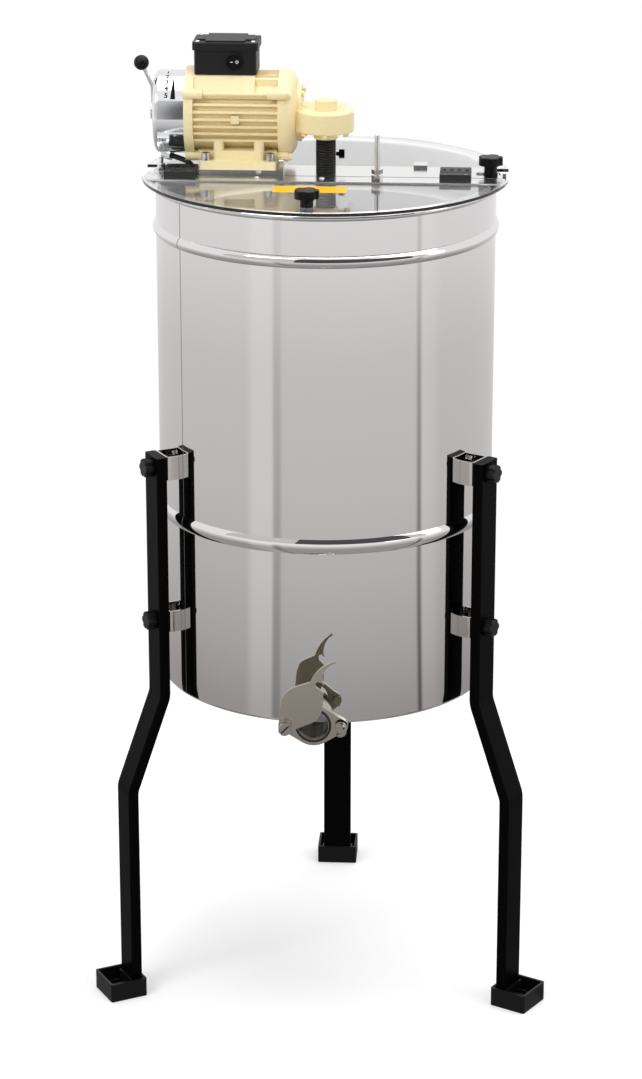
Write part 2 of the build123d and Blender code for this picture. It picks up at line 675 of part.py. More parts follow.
def crossbar():
    """Folded bar across the drum, with a tab at each end that lies on the rim."""
    reach = DRUM_RADIUS - BAR_FLANGE_INSET
    bar = slab((-reach, reach), (-HALF_BAR, HALF_BAR), (BAR_TOP - BAR_SHEET, BAR_TOP))
    tab_y = (CLAMP_Y - BAR_TAB_WIDTH / 2, CLAMP_Y + BAR_TAB_WIDTH / 2)
    for side in (-1, 1):
        edge = side * HALF_BAR
        bar += slab((-reach, reach), (edge - side * BAR_SHEET, edge), (BAR_TOP - BAR_FLANGE, BAR_TOP))
        tab_start = side * (reach - BAR_TAB_LAP)
        bar += slab((tab_start, side * BAR_END), tab_y, (RIM_TOP, TAB_TOP))
        bar += slab((tab_start, side * reach), tab_y, (RIM_TOP, BAR_TOP))
        hole = CLAMP_SCREW + 2 * LEG_BOLT_CLEARANCE
        place = side * CLAMP_RADIUS
        bar -= rod((place, CLAMP_Y, RIM_TOP - BAR_FLANGE), (place, CLAMP_Y, 2 * RIM_TOP), hole)
        relief = 2 * CLAMP_WASHER
        bar -= rod((place, CLAMP_Y, TAB_TOP), (place, CLAMP_Y, 2 * RIM_TOP), relief) & slab(
            (-2 * reach, 2 * reach), tab_y, (TAB_TOP, 2 * RIM_TOP)
        )
    bar -= rod((LEAD_GLAND_X, LEAD_GLAND_Y, RIM_TOP), (LEAD_GLAND_X, LEAD_GLAND_Y, BAR_TOP), GLAND_HOLE)
    return bar - rod((0, 0, RIM_TOP - BAR_FLANGE), (0, 0, 2 * RIM_TOP), SHAFT_HOLE)


def bar_lug(side):
    """Angle welded inside the wall, with the threaded hole for the bar's screw."""
    top = RIM_TOP - BAR_LUG_DROP
    outer = DRUM_RADIUS - DRUM_WALL
    inner = CLAMP_RADIUS - BAR_LUG_REACH / 2
    half = BAR_LUG_WIDTH / 2
    y = (CLAMP_Y - half, CLAMP_Y + half)
    lug = slab((inner, outer + BAR_LUG_SHEET), y, (top - BAR_LUG_SHEET, top))
    lug += slab((outer - BAR_LUG_SHEET, outer + BAR_LUG_SHEET), y, (top - BAR_LUG_LEG, top))
    lug &= Cylinder(outer - SEAM_CLEARANCE, 2 * RIM_TOP)
    bore = CLAMP_SCREW + 2 * RUNNING_CLEARANCE
    lug -= rod((CLAMP_RADIUS, CLAMP_Y, top - BAR_LUG_LEG), (CLAMP_RADIUS, CLAMP_Y, top + BAR_LUG_LEG), bore)
    return lug if side > 0 else mirror(lug, about=Plane.YZ)


def star_knob(x, y, seat, neck_height):
    """Hand knob with a round neck and scalloped head, seated at a height."""
    neck = rod((x, y, seat), (x, y, seat + neck_height), KNOB_NECK)
    outline = lobed(KNOB_DIAMETER, KNOB_LOBES, KNOB_LOBE_CUT)
    head = extrude(Pos(x, y, seat + neck_height) * outline, KNOB_HEIGHT)
    head = fillet(head.faces().sort_by(Axis.Z)[-1].edges(), KNOB_HEIGHT / 6)
    return neck + head


def bar_clamp_knob():
    """Star knob with its washers and screw, which reaches the lug."""
    washer_top = TAB_TOP + CLAMP_WASHER_HEIGHT
    low = RIM_TOP - BAR_LUG_DROP - BAR_LUG_SHEET
    knob = star_knob(CLAMP_RADIUS, CLAMP_Y, washer_top, KNOB_NECK_HEIGHT)
    knob += rod((CLAMP_RADIUS, CLAMP_Y, TAB_TOP), (CLAMP_RADIUS, CLAMP_Y, washer_top), CLAMP_WASHER)
    return knob + rod((CLAMP_RADIUS, CLAMP_Y, low), (CLAMP_RADIUS, CLAMP_Y, washer_top), CLAMP_SCREW)


def bar_end_bolt():
    """Stud with a washer and two nuts at the other end of the bar."""
    x = -CLAMP_RADIUS
    low = RIM_TOP - BAR_LUG_DROP - BAR_LUG_SHEET
    washer_top = TAB_TOP + CLAMP_WASHER_HEIGHT / 2
    bolt = rod((x, CLAMP_Y, low), (x, CLAMP_Y, TAB_TOP + END_STUD_ABOVE), CLAMP_SCREW)
    bolt += rod((x, CLAMP_Y, TAB_TOP), (x, CLAMP_Y, washer_top), CLAMP_WASHER)
    bolt += hex_bar((x, CLAMP_Y, washer_top), (x, CLAMP_Y, washer_top + END_NUT_HEIGHT), END_NUT_ACROSS)
    wing_low = washer_top + END_NUT_HEIGHT
    bolt += rod((x, CLAMP_Y, wing_low), (x, CLAMP_Y, wing_low + END_NUT_HEIGHT), END_NUT_ACROSS)
    wings = slab(
        (x - WING_SHEET / 2, x + WING_SHEET / 2),
        (CLAMP_Y - WING_SPAN / 2, CLAMP_Y + WING_SPAN / 2),
        (wing_low + WING_SHEET, wing_low + END_NUT_HEIGHT + WING_SHEET),
    )
    return bolt + fillet(wings.edges().filter_by(Axis.X), WING_SHEET)


def bar_end_pad():
    """Rubber cap over the end of the bar beside the knob."""
    front = CLAMP_Y - BAR_TAB_WIDTH / 2
    back = CLAMP_Y + BAR_TAB_WIDTH / 2
    start = BAR_END + END_PAD_WALL - END_PAD_LENGTH
    block = slab(
        (start, BAR_END + END_PAD_WALL),
        (front - END_PAD_WALL, back + END_PAD_WALL),
        (RIM_TOP - END_PAD_WALL, TAB_TOP + END_PAD_WALL),
    )
    return block - slab((start, BAR_END), (front, back), (RIM_TOP, TAB_TOP))


def half_lid(side):
    """Clear half disc that lies on the rim beside the bar."""
    disc = Pos(0, 0, LID_BOTTOM) * Cylinder(LID_RADIUS, LID_THICKNESS, align=FROM_BASE)
    keep = slab((-LID_RADIUS, LID_RADIUS), (side * LID_EDGE_Y, side * LID_RADIUS), (LID_BOTTOM, LID_TOP))
    return disc & keep


def lid_edge_strip():
    """Stainless strip along the hinged edge of the lid."""
    disc = Pos(0, 0, LID_TOP) * Cylinder(LID_RADIUS - STRIP_END_INSET, STRIP_THICKNESS, align=FROM_BASE)
    edges = (-LID_EDGE_Y, -LID_EDGE_Y - STRIP_WIDTH)
    return disc & slab((-LID_RADIUS, LID_RADIUS), edges, (LID_TOP, LID_TOP + STRIP_THICKNESS))


def hinge_leaf(middle, side):
    """Hinge leaf with alternate knuckles: side 1 has the bar's pockets, side -1 the lid's screws."""
    pitch = HINGE_WIDTH / HINGE_KNUCKLES
    clear = HINGE_KNUCKLE / 2 + HINGE_SIDE_GAP
    low = middle - HINGE_WIDTH / 2
    far = HINGE_Y + (HINGE_BAR_DEPTH if side > 0 else -HINGE_LID_DEPTH)
    leaf = slab((low, low + HINGE_WIDTH), (HINGE_Y + side * clear, far), (BAR_TOP, BAR_TOP + HINGE_LEAF))
    leaf = chamfer(leaf.faces().sort_by(Axis.Z)[-1].edges(), HINGE_LEAF / 12)
    bore = HINGE_PIN + 2 * RUNNING_CLEARANCE
    for number in range(HINGE_KNUCKLES):
        if (number % 2 == 0) != (side > 0):
            continue
        start = low + number * pitch + HINGE_SIDE_GAP / 2
        end = low + (number + 1) * pitch - HINGE_SIDE_GAP / 2
        web_y = (HINGE_Y, HINGE_Y + side * (clear + HINGE_WEB_LAP))
        web = slab((start, end), web_y, (HINGE_Z - HINGE_LEAF / 2, HINGE_Z))
        knuckle = rod((start, HINGE_Y, HINGE_Z), (end, HINGE_Y, HINGE_Z), HINGE_KNUCKLE)
        leaf += knuckle + web
        leaf -= rod((start, HINGE_Y, HINGE_Z), (end, HINGE_Y, HINGE_Z), bore)
    leaf_top = BAR_TOP + HINGE_LEAF
    if side < 0:
        row = (HINGE_Y - clear + far) / 2
        for offset in (-HINGE_SCREW_SPACING / 2, HINGE_SCREW_SPACING / 2):
            x = middle + offset
            leaf -= rod((x, row, leaf_top - HINGE_SCREW_DEPTH), (x, row, leaf_top), HINGE_SCREW)
        return leaf
    wide, deep, sunk = HINGE_POCKET
    row = HINGE_Y + clear + deep
    for number in range(HINGE_POCKETS):
        x = middle + (number - (HINGE_POCKETS - 1) / 2) * HINGE_POCKET_PITCH
        pocket_x = (x - wide / 2, x + wide / 2)
        leaf -= slab(pocket_x, (row - deep / 2, row + deep / 2), (leaf_top - sunk, leaf_top))
    return leaf


def hinge_pin(middle):
    """Pin through all the knuckles of one hinge."""
    half = HINGE_WIDTH / 2
    return rod((middle - half, HINGE_Y, HINGE_Z), (middle + half, HINGE_Y, HINGE_Z), HINGE_PIN)


def lid_stop_rod():
    """Threaded rod with two nuts, standing on the lid's strip."""
    x, y = STOP_ROD_X, STOP_ROD_Y
    seat = LID_TOP + STRIP_THICKNESS
    stop = rod((x, y, seat), (x, y, seat + STOP_ROD_HEIGHT), STOP_ROD_DIAMETER)
    gap = STOP_ROD_NUT_HEIGHT / 3
    for low in (seat, seat + STOP_ROD_NUT_HEIGHT + gap):
        stop += hex_bar((x, y, low), (x, y, low + STOP_ROD_NUT_HEIGHT), STOP_ROD_NUT_ACROSS)
    return fillet(stop.faces().sort_by(Axis.Z)[-1].edges(), STOP_ROD_DIAMETER / 5)


def rear_lid_clip():
    """Clip on the bar that holds the rear lid down."""
    half = CLIP_WIDTH / 2
    top = BAR_TOP + CLIP_SHEET
    x = (REAR_CLIP_X - half, REAR_CLIP_X + half)
    on_bar = slab(x, (HALF_BAR - CLIP_DEPTH / 2, LID_EDGE_Y), (BAR_TOP, top))
    on_lid = slab(x, (LID_EDGE_Y, LID_EDGE_Y + CLIP_DEPTH / 2), (LID_TOP, top))
    return on_bar + on_lid


def on_motor(x, outer, inner=0.0):
    """Round piece on the motor's axis, between two stations, by its diameters."""
    start = (x[0], MOTOR_Y, MOTOR_Z)
    end = (x[1], MOTOR_Y, MOTOR_Z)
    body = rod(start, end, outer)
    return body - rod(start, end, inner) if inner else body


def motor_lugs(x, diameter):
    """Four round lugs for the tie bolts, between two stations."""
    lugs = []
    for angle in (LUG_HIGH, 180 - LUG_HIGH, 180 + LUG_LOW, -LUG_LOW):
        y = MOTOR_Y + LUG_RADIUS * cos(radians(angle))
        z = MOTOR_Z + LUG_RADIUS * sin(radians(angle))
        lugs.append(rod((x[0], y, z), (x[1], y, z), diameter))
    return lugs


def foot_bolt_spots():
    """Places of the four foot bolts."""
    reach = FOOT_SPAN / 2 - FOOT_WASHER / 2 - PLATE_FRONT_INSET
    rows = (MOTOR_Y - reach, MOTOR_Y + reach)
    ends = (FOOT_PAD_X[0] + FOOT_BOLT_INSET, FOOT_PAD_X[1] - FOOT_BOLT_INSET)
    return [(x, y) for x in ends for y in rows]


def motor_plate():
    """Steel plate under the motor's feet, with one end turned up and slotted."""
    front = -(HALF_BAR - PLATE_FRONT_INSET)
    top = BAR_TOP + PLATE_STEEL
    plate = slab(PLATE_X, (front, PLATE_BACK), (BAR_TOP, top))
    tab_x = (PLATE_X[1], PLATE_X[1] + PLATE_STEEL)
    tab = slab(tab_x, (front, front + PLATE_UPTURN_WIDTH), (BAR_TOP, top + PLATE_UPTURN))
    tab = fillet(tab.edges().filter_by(Axis.X).group_by(Axis.Z)[-1], PLATE_STEEL / 2)
    slot_middle = front + PLATE_UPTURN_WIDTH / 2
    slot_y = (slot_middle - PLATE_UPTURN_SLOT / 2, slot_middle + PLATE_UPTURN_SLOT / 2)
    plate += tab - slab(tab_x, slot_y, (top, top + PLATE_UPTURN - PLATE_STEEL))
    hole = FOOT_BOLT_DIAMETER + 2 * LEG_BOLT_CLEARANCE
    for x, y in foot_bolt_spots():
        plate -= rod((x, y, BAR_TOP), (x, y, top), hole)
    return plate


def motor_housing():
    """Cast stator housing with flat fins, two feet, lugs and the terminal box pedestal."""
    plate_top = BAR_TOP + PLATE_STEEL
    foot_top = plate_top + FOOT_PAD_THICKNESS
    housing = on_motor(STATOR_X, 2 * STATOR_CORE)
    envelope = on_motor(STATOR_X, 2 * FIN_RADIUS)
    width = (MOTOR_Y - FIN_RADIUS, MOTOR_Y + FIN_RADIUS)
    half_fin = FIN_THICKNESS / 2
    fin_top = MOTOR_Z + BOX_BOTTOM - PEDESTAL_INSET
    for number in range(FIN_COUNT):
        offset = (number - (FIN_COUNT - 1) / 2) * FIN_PITCH
        z = MOTOR_Z + offset
        y = MOTOR_Y + offset
        housing += slab(STATOR_X, width, (z - half_fin, z + half_fin)) & envelope
        housing += slab(STATOR_X, (y - half_fin, y + half_fin), (MOTOR_Z, fin_top)) & envelope
    middle = (STATOR_X[0] + STATOR_X[1]) / 2
    boss_x = (middle - FIN_BOSS, middle + FIN_BOSS)
    housing += slab(boss_x, (width[0], MOTOR_Y), (MOTOR_Z - FIN_BOSS, MOTOR_Z + FIN_BOSS))
    for side in (-1, 1):
        outer = MOTOR_Y + side * FOOT_SPAN / 2
        pad = slab(FOOT_PAD_X, (outer - side * FOOT_PAD_DEPTH, outer), (plate_top, foot_top))
        pad = fillet(pad.edges().filter_by(Axis.Z), FOOT_PAD_CORNER)
        web_top = foot_top + FOOT_WEB_HEIGHT
        web = slab(FOOT_WEB_X, (outer - side * FOOT_WEB_INSET, MOTOR_Y), (plate_top + FOOT_LIFT, web_top))
        wall_top = foot_top + FOOT_WALL_HEIGHT
        wall = slab(FOOT_PAD_X, (outer - side * FOOT_WALL_INSET, MOTOR_Y), (plate_top + FOOT_LIFT, wall_top))
        housing += pad + web + wall
        lowest_fin = MOTOR_Z - (FIN_COUNT - 1) / 2 * FIN_PITCH
        for x in FOOT_POSTS_X:
            y = outer - side * (FOOT_WEB_INSET + FOOT_POST_DIAMETER / 2)
            housing += rod((x, y, foot_top), (x, y, lowest_fin), FOOT_POST_DIAMETER)
    housing += box_pedestal()
    for end, inward in ((STATOR_X[0], LUG_DIAMETER), (STATOR_X[1], -LUG_DIAMETER)):
        for lug in motor_lugs((end, end + inward), LUG_DIAMETER):
            housing += lug
    for lug in motor_lugs(STATOR_X, TIE_BOLT + 2 * LEG_BOLT_CLEARANCE):
        housing -= lug
    hole = FOOT_BOLT_DIAMETER + 2 * LEG_BOLT_CLEARANCE
    for x, y in foot_bolt_spots():
        housing -= rod((x, y, plate_top), (x, y, foot_top), hole)
    return housing - on_motor(STATOR_X, 2 * ROTOR_BORE)


def box_pedestal():
    """Block with sloping sides that carries the terminal box on the stator."""
    top_fin = (FIN_COUNT - 1) / 2 * FIN_PITCH
    low_half = sqrt(FIN_RADIUS ** 2 - top_fin ** 2) - PEDESTAL_INSET
    high_half = BOX_DEPTH / 2 - PEDESTAL_INSET
    place = Plane(origin=(BOX_X[0], MOTOR_Y, MOTOR_Z), x_dir=(0, 1, 0), z_dir=(1, 0, 0))
    outline = Polygon(
        (-low_half, top_fin),
        (low_half, top_fin),
        (high_half, BOX_BOTTOM),
        (-high_half, BOX_BOTTOM),
        align=None,
    )
    return extrude(place * outline, BOX_X[1] - BOX_X[0] - PEDESTAL_INSET)


def variator_shield():
    """End shield between the stator and the variator, with the rear bearing's seat."""
    x = (STATOR_X[0] - SHIELD_THICKNESS, STATOR_X[0])
    shield = on_motor(x, 2 * SHIELD_RADIUS)
    for lug in motor_lugs(x, LUG_DIAMETER):
        shield += lug
    for lug in motor_lugs(x, TIE_BOLT + 2 * LEG_BOLT_CLEARANCE):
        shield -= lug
    shield -= on_motor((x[1] - BEARING_WIDTH, x[1]), BEARING_OUTER + 2 * SEAM_CLEARANCE)
    return shield - on_motor(x, BEARING_INNER + SHAFT_ROOM)


def drive_bell():
    """Rounded end bell on the worm's side, with the front bearing's seat."""
    x = (STATOR_X[1], STATOR_X[1] + BELL_LENGTH)
    bell = on_motor(x, 2 * FIN_RADIUS)
    rim = bell.faces().sort_by(Axis.X)[-1].edges()
    bell = fillet(rim, min(FIN_RADIUS - BELL_MOUTH_RADIUS, BELL_LENGTH - BELL_LAND))
    lug_end = x[0] + LUG_DIAMETER
    for lug in motor_lugs((x[0], lug_end), LUG_DIAMETER):
        bell += lug
    for lug in motor_lugs((x[0], lug_end), TIE_BOLT + 2 * LEG_BOLT_CLEARANCE):
        bell -= lug
    seat = bell_bearing_x()
    bell -= on_motor((x[0], seat[0]), BEARING_OUTER + BEARING_WIDTH)
    bell -= on_motor(seat, BEARING_OUTER + 2 * SEAM_CLEARANCE)
    return bell - on_motor(x, BEARING_INNER + SHAFT_ROOM)


def bell_bearing_x():
    """Stations of the front bearing in the bell."""
    end = STATOR_X[1] + BELL_LENGTH - BELL_WEB
    return (end - BEARING_WIDTH, end)


def motor_bearing(x):
    """Ball bearing as its closed ring."""
    return on_motor(x, BEARING_OUTER, BEARING_INNER + 2 * RUNNING_CLEARANCE)


def tie_bolt(number):
    """Long bolt through the lugs, with its head on the bell."""
    shield_face = STATOR_X[0] - SHIELD_THICKNESS
    bell_face = STATOR_X[1] + LUG_DIAMETER
    shank = motor_lugs((shield_face, bell_face), TIE_BOLT)[number]
    head = motor_lugs((bell_face, bell_face + TIE_BOLT), 2 * TIE_BOLT)[number]
    return shank + head


def foot_bolt(x, y):
    """Foot bolt with its washer, through the foot and the plate."""
    seat = BAR_TOP + PLATE_STEEL + FOOT_PAD_THICKNESS
    washer_top = seat + FOOT_WASHER_HEIGHT
    bolt = rod((x, y, BAR_TOP), (x, y, washer_top), FOOT_BOLT_DIAMETER)
    bolt += rod((x, y, seat), (x, y, washer_top), FOOT_WASHER)
    head = rod((x, y, washer_top), (x, y, washer_top + FOOT_BOLT_HEAD_HEIGHT), FOOT_BOLT_HEAD)
    socket_low = washer_top + FOOT_BOLT_HEAD_HEIGHT / 2
    head -= hex_bar((x, y, socket_low), (x, y, socket_low + FOOT_BOLT_HEAD_HEIGHT), FOOT_BOLT_HEAD / 2)
    return bolt + head


def tooth_ring(count, root, tip, root_width, tip_width, turn):
    """Closed outline of a toothed wheel, as points about the origin."""
    points = []
    for number in range(count):
        middle = radians(360 * number / count + turn)
        for radius, width in ((root, -root_width), (tip, -tip_width), (tip, tip_width), (root, root_width)):
            angle = middle + width / (2 * radius)
            points.append((radius * cos(angle), radius * sin(angle)))
    return Polygon(*points, align=None)


def rotor():
    """Rotor core on its shaft, which ends in the worm."""
    shaft_start = STATOR_X[0] - SHIELD_THICKNESS - BEARING_WIDTH / 4
    neck = -WORM_LENGTH / 2 - WORM_NECK
    body = on_motor((shaft_start, neck), BEARING_INNER)
    body += on_motor((STATOR_X[0] + ROTOR_MARGIN, STATOR_X[1] - ROTOR_MARGIN), 2 * ROTOR_RADIUS)
    body += on_motor((neck, WORM_LENGTH / 2 + BEARING_WIDTH / 2), 2 * WORM_ROOT_RADIUS)
    across = 2 * pi * WORM_PITCH_RADIUS * WORM_THREAD / WORM_LEAD
    thread_root = WORM_ROOT_RADIUS * WORM_ROOT_RATIO
    thread_foot = across * THREAD_FOOT_RATIO
    thread_crest = across * THREAD_CREST_RATIO
    steps = ceil(STEPS_PER_TURN * WORM_LENGTH / WORM_LEAD)
    sections = []
    for step in range(steps + 1):
        x = -WORM_LENGTH / 2 + WORM_LENGTH * step / steps
        turn = 180 / WORM_STARTS + 360 * x / WORM_LEAD
        place = Plane(origin=(x, MOTOR_Y, MOTOR_Z), x_dir=(0, 1, 0), z_dir=(1, 0, 0))
        outline = tooth_ring(WORM_STARTS, thread_root, WORM_TIP_RADIUS, thread_foot, thread_crest, turn)
        sections.append(place * outline)
    return body + loft(sections, ruled=True)


def worm_wheel():
    """Helical wheel driven by the worm, on the output shaft."""
    tip = MOTOR_Y - WORM_ROOT_RADIUS - WHEEL_TIP_GAP
    root = MOTOR_Y - WORM_TIP_RADIUS - WHEEL_TIP_GAP
    slope = WORM_LEAD / (2 * pi * WORM_PITCH_RADIUS)
    half_turn = degrees(slope * WHEEL_FACE / 2 / WHEEL_PITCH_RADIUS)
    tooth_foot = WHEEL_TOOTH * TOOTH_FOOT_RATIO
    tooth_crest = WHEEL_TOOTH * TOOTH_CREST_RATIO
    sections = []
    for end in (-1, 1):
        turn = 90 + end * half_turn
        outline = tooth_ring(WHEEL_TEETH, root, tip, tooth_foot, tooth_crest, turn)
        sections.append(Pos(0, 0, MOTOR_Z + end * WHEEL_FACE / 2) * outline)
    wheel = loft(sections, ruled=True)
    bore = OUTPUT_SHAFT + 2 * SEAM_CLEARANCE
    return wheel - rod((0, 0, HEAD_BOTTOM), (0, 0, HEAD_TOP), bore)


def gear_housing():
    """Round worm head with the worm's tunnel, the bell's flange and the lower neck."""
    bell_end = STATOR_X[1] + BELL_LENGTH
    tunnel = (bell_end, TUNNEL_REACH)
    head = rod((0, 0, HEAD_BOTTOM), (0, 0, HEAD_TOP), 2 * HEAD_RADIUS)
    head = fillet(head.edges(), HEAD_WALL / 2)
    head += on_motor(tunnel, HEAD_HEIGHT)
    head += slab((bell_end, 0), (-HEAD_RADIUS / 3, MOTOR_Y), (HEAD_BOTTOM, HEAD_TOP))
    head += on_motor((bell_end, bell_end + HEAD_FLANGE_THICKNESS), 2 * HEAD_FLANGE_RADIUS)
    head += rod((0, 0, NECK_BOTTOM), (0, 0, HEAD_BOTTOM + HEAD_WALL), HEAD_NECK_DIAMETER)
    wheel_room = WHEEL_FACE / 2 + HEAD_ROOM
    tip = MOTOR_Y - WORM_ROOT_RADIUS - WHEEL_TIP_GAP
    head -= rod((0, 0, MOTOR_Z - wheel_room), (0, 0, MOTOR_Z + wheel_room), 2 * (tip + HEAD_ROOM))
    worm_end = WORM_LENGTH / 2 + HEAD_ROOM
    head -= on_motor((bell_end, worm_end), 2 * (WORM_TIP_RADIUS + WORM_ROOM))
    bush_end = WORM_LENGTH / 2 + BEARING_WIDTH / 2 + HEAD_ROOM
    head -= on_motor((worm_end, bush_end), 2 * (WORM_ROOT_RADIUS + RUNNING_CLEARANCE))
    bore = OUTPUT_SHAFT + 2 * RUNNING_CLEARANCE
    return head - rod((0, 0, NECK_BOTTOM), (0, 0, HEAD_TOP - HEAD_WALL), bore)


def gear_cap():
    """Bearing cap on top of the worm head."""
    cap = rod((0, 0, HEAD_TOP), (0, 0, HEAD_TOP + HEAD_CAP_HEIGHT), HEAD_CAP_DIAMETER)
    return fillet(cap.faces().sort_by(Axis.Z)[-1].edges(), HEAD_WALL / 3)


def head_bolt(number):
    """Bolt head under the rim of the worm head."""
    angle = radians(360 * (number + 0.5) / HEAD_BOLTS)
    x = HEAD_BOLT_CIRCLE * cos(angle)
    y = HEAD_BOLT_CIRCLE * sin(angle)
    across = HEX_RATIO * HEAD_BOLT_DIAMETER
    return hex_bar((x, y, HEAD_BOTTOM - HEAD_BOLT_HEIGHT), (x, y, HEAD_BOTTOM), across)


def flange_bolt(number):
    """Bolt head on the flange between the worm head and the bell."""
    angle = radians(HEAD_FLANGE_TURN + 180 * (number // 2))
    angle = angle if number % 2 else -angle
    seat = STATOR_X[1] + BELL_LENGTH + HEAD_FLANGE_THICKNESS
    y = MOTOR_Y + HEAD_FLANGE_CIRCLE * cos(angle)
    z = MOTOR_Z + HEAD_FLANGE_CIRCLE * sin(angle)
    return hex_bar((seat, y, z), (seat + HEAD_BOLT_HEIGHT, y, z), HEX_RATIO * HEAD_BOLT_DIAMETER)


def shaft_sleeve():
    """Ribbed rubber sleeve round the drive shaft, between bar and worm head."""
    length = NECK_BOTTOM - BAR_TOP - 2 * SLEEVE_GAP
    end = (length - SLEEVE_ROOT / SLEEVE_RIBS) / SLEEVE_RIBS / 2
    pitch = (length - 2 * end) / SLEEVE_RIBS
    low = BAR_TOP + SLEEVE_GAP

    def circle(z, diameter):
        return Plane(origin=(0, 0, z), x_dir=(1, 0, 0)) * Circle(diameter / 2)

    sections = [circle(low, SLEEVE_DIAMETER)]
    for number in range(SLEEVE_RIBS):
        start = low + end + number * pitch
        sections.append(circle(start, SLEEVE_ROOT))
        sections.append(circle(start + pitch * RIB_RISE_RATIO, SLEEVE_DIAMETER))
        sections.append(circle(start + pitch * RIB_CREST_RATIO, SLEEVE_DIAMETER))
        sections.append(circle(start + pitch * RIB_FALL_RATIO, SLEEVE_ROOT))
    sections.append(circle(low + length, SLEEVE_DIAMETER))
    sleeve = loft(sections, ruled=True)
    return sleeve - rod((0, 0, BAR_TOP), (0, 0, NECK_BOTTOM), SLEEVE_BORE)


def sleeve_screw():
    """Thumb screw at the side of the sleeve."""
    z = BAR_TOP + SLEEVE_SCREW_UP
    start = SLEEVE_DIAMETER / 2 + SEAM_CLEARANCE
    neck = start + SLEEVE_SCREW_LENGTH / 3
    screw = rod((start, 0, z), (neck, 0, z), SLEEVE_SCREW_DIAMETER / 2)
    head = hex_bar((neck, 0, z), (start + SLEEVE_SCREW_LENGTH, 0, z), SLEEVE_SCREW_DIAMETER)
    return screw + head


def terminal_box():
    """Moulded box on the pedestal, open at the top, with a hole for the switch."""
    half = BOX_DEPTH / 2
    low = MOTOR_Z + BOX_BOTTOM
    high = low + BOX_HEIGHT
    box = slab(BOX_X, (MOTOR_Y - half, MOTOR_Y + half), (low, high))
    box = fillet(box.edges().filter_by(Axis.Z), BOX_CORNER)
    box -= slab(
        (BOX_X[0] + BOX_WALL, BOX_X[1] - BOX_WALL),
        (MOTOR_Y - half + BOX_WALL, MOTOR_Y + half - BOX_WALL),
        (low + BOX_WALL, high),
    )
    front = MOTOR_Y - half
    z = high - SWITCH_DROP
    hole = SWITCH_BODY + 2 * SEAM_CLEARANCE
    return box - rod((SWITCH_X, front, z), (SWITCH_X, front + BOX_WALL, z), hole)


def terminal_box_lid():
    """Overhanging lid of the terminal box."""
    half = BOX_DEPTH / 2 + BOX_LID_LIP
    low = MOTOR_Z + BOX_BOTTOM + BOX_HEIGHT
    lid = slab(
        (BOX_X[0] - BOX_LID_LIP, BOX_X[1] + BOX_LID_LIP),
        (MOTOR_Y - half, MOTOR_Y + half),
        (low, low + BOX_LID_HEIGHT),
    )
    lid = fillet(lid.edges().filter_by(Axis.Z), BOX_CORNER + BOX_LID_LIP)
    lid = fillet(lid.faces().sort_by(Axis.Z)[-1].edges(), BOX_LID_HEIGHT / 5)
    high = low + BOX_LID_HEIGHT
    for inset_x, inset_y in ((BOX_LID_CORNER, BOX_LID_LIP), (BOX_LID_LIP, BOX_LID_CORNER)):
        lid += slab(
            (BOX_X[0] + inset_x, BOX_X[1] - inset_x),
            (MOTOR_Y - half + inset_y, MOTOR_Y + half - inset_y),
            (low, high + BOX_LID_STEP),
        )
    return lid


def switch_place():
    """Plane at the middle of the switch on the box's front face, looking out."""
    z = MOTOR_Z + BOX_BOTTOM + BOX_HEIGHT - SWITCH_DROP
    origin = (SWITCH_X, MOTOR_Y - BOX_DEPTH / 2, z)
    return Plane(origin=origin, x_dir=(1, 0, 0), z_dir=(0, -1, 0))


def switch_bezel():
    """Round snap-in switch body with its raised rim."""
    front = switch_place()
    pocket = ROCKER_DIAMETER / 2 + ROCKER_CLEARANCE
    bezel = extrude(front * Circle(BEZEL_DIAMETER / 2), BEZEL_HEIGHT)
    bezel = fillet(bezel.faces().sort_by(Axis.Y)[0].edges(), BEZEL_HEIGHT / 3)
    bezel += extrude(front.offset(-SWITCH_BODY_DEPTH) * Circle(SWITCH_BODY / 2), SWITCH_BODY_DEPTH)
    depth = rocker_depth() + rocker_sweep()
    bezel -= extrude(front.offset(BEZEL_HEIGHT - depth) * Circle(pocket), depth)
    return bezel - rocker_pin(RUNNING_CLEARANCE)


def rocker_sweep():
    """Half the depth that the tilted rocker takes up, with its clearance."""
    tilt = radians(ROCKER_TILT)
    return ROCKER_DEPTH / 2 * cos(tilt) + ROCKER_DIAMETER / 2 * sin(tilt) + ROCKER_CLEARANCE


def rocker_depth():
    """Depth of the rocker's pivot below the bezel's front."""
    return ROCKER_DEPTH / 2


def rocker_pivot():
    """Plane through the middle of the rocker's pin."""
    return switch_place().offset(BEZEL_HEIGHT - rocker_depth())


def rocker_pin(gap):
    """Upright pin that the rocker turns on, or its bearing holes with a gap."""
    pin = Cylinder(ROCKER_PIN / 2 + gap, ROCKER_PIN_SPAN + 2 * gap)
    return rocker_pivot() * Rot(90, 0, 0) * pin


def switch_rocker():
    """Round rocker, tilted about its upright pin."""
    disc = Cylinder(ROCKER_DIAMETER / 2, ROCKER_DEPTH)
    return rocker_pivot() * Rot(0, ROCKER_TILT, 0) * disc + rocker_pin(0)


def lead_points():
    """The control lead's route: out of the variator, over, and down into the gland."""
    start = Vector(LEAD_START_X, LEAD_START_Y, MOTOR_Z - LEAD_START_DROP)
    corner = Vector(LEAD_GLAND_X, LEAD_GLAND_Y, start.Z - LEAD_SLOPE)
    end = Vector(LEAD_GLAND_X, LEAD_GLAND_Y, BAR_TOP + GLAND_HEIGHT)
    return start, corner, end


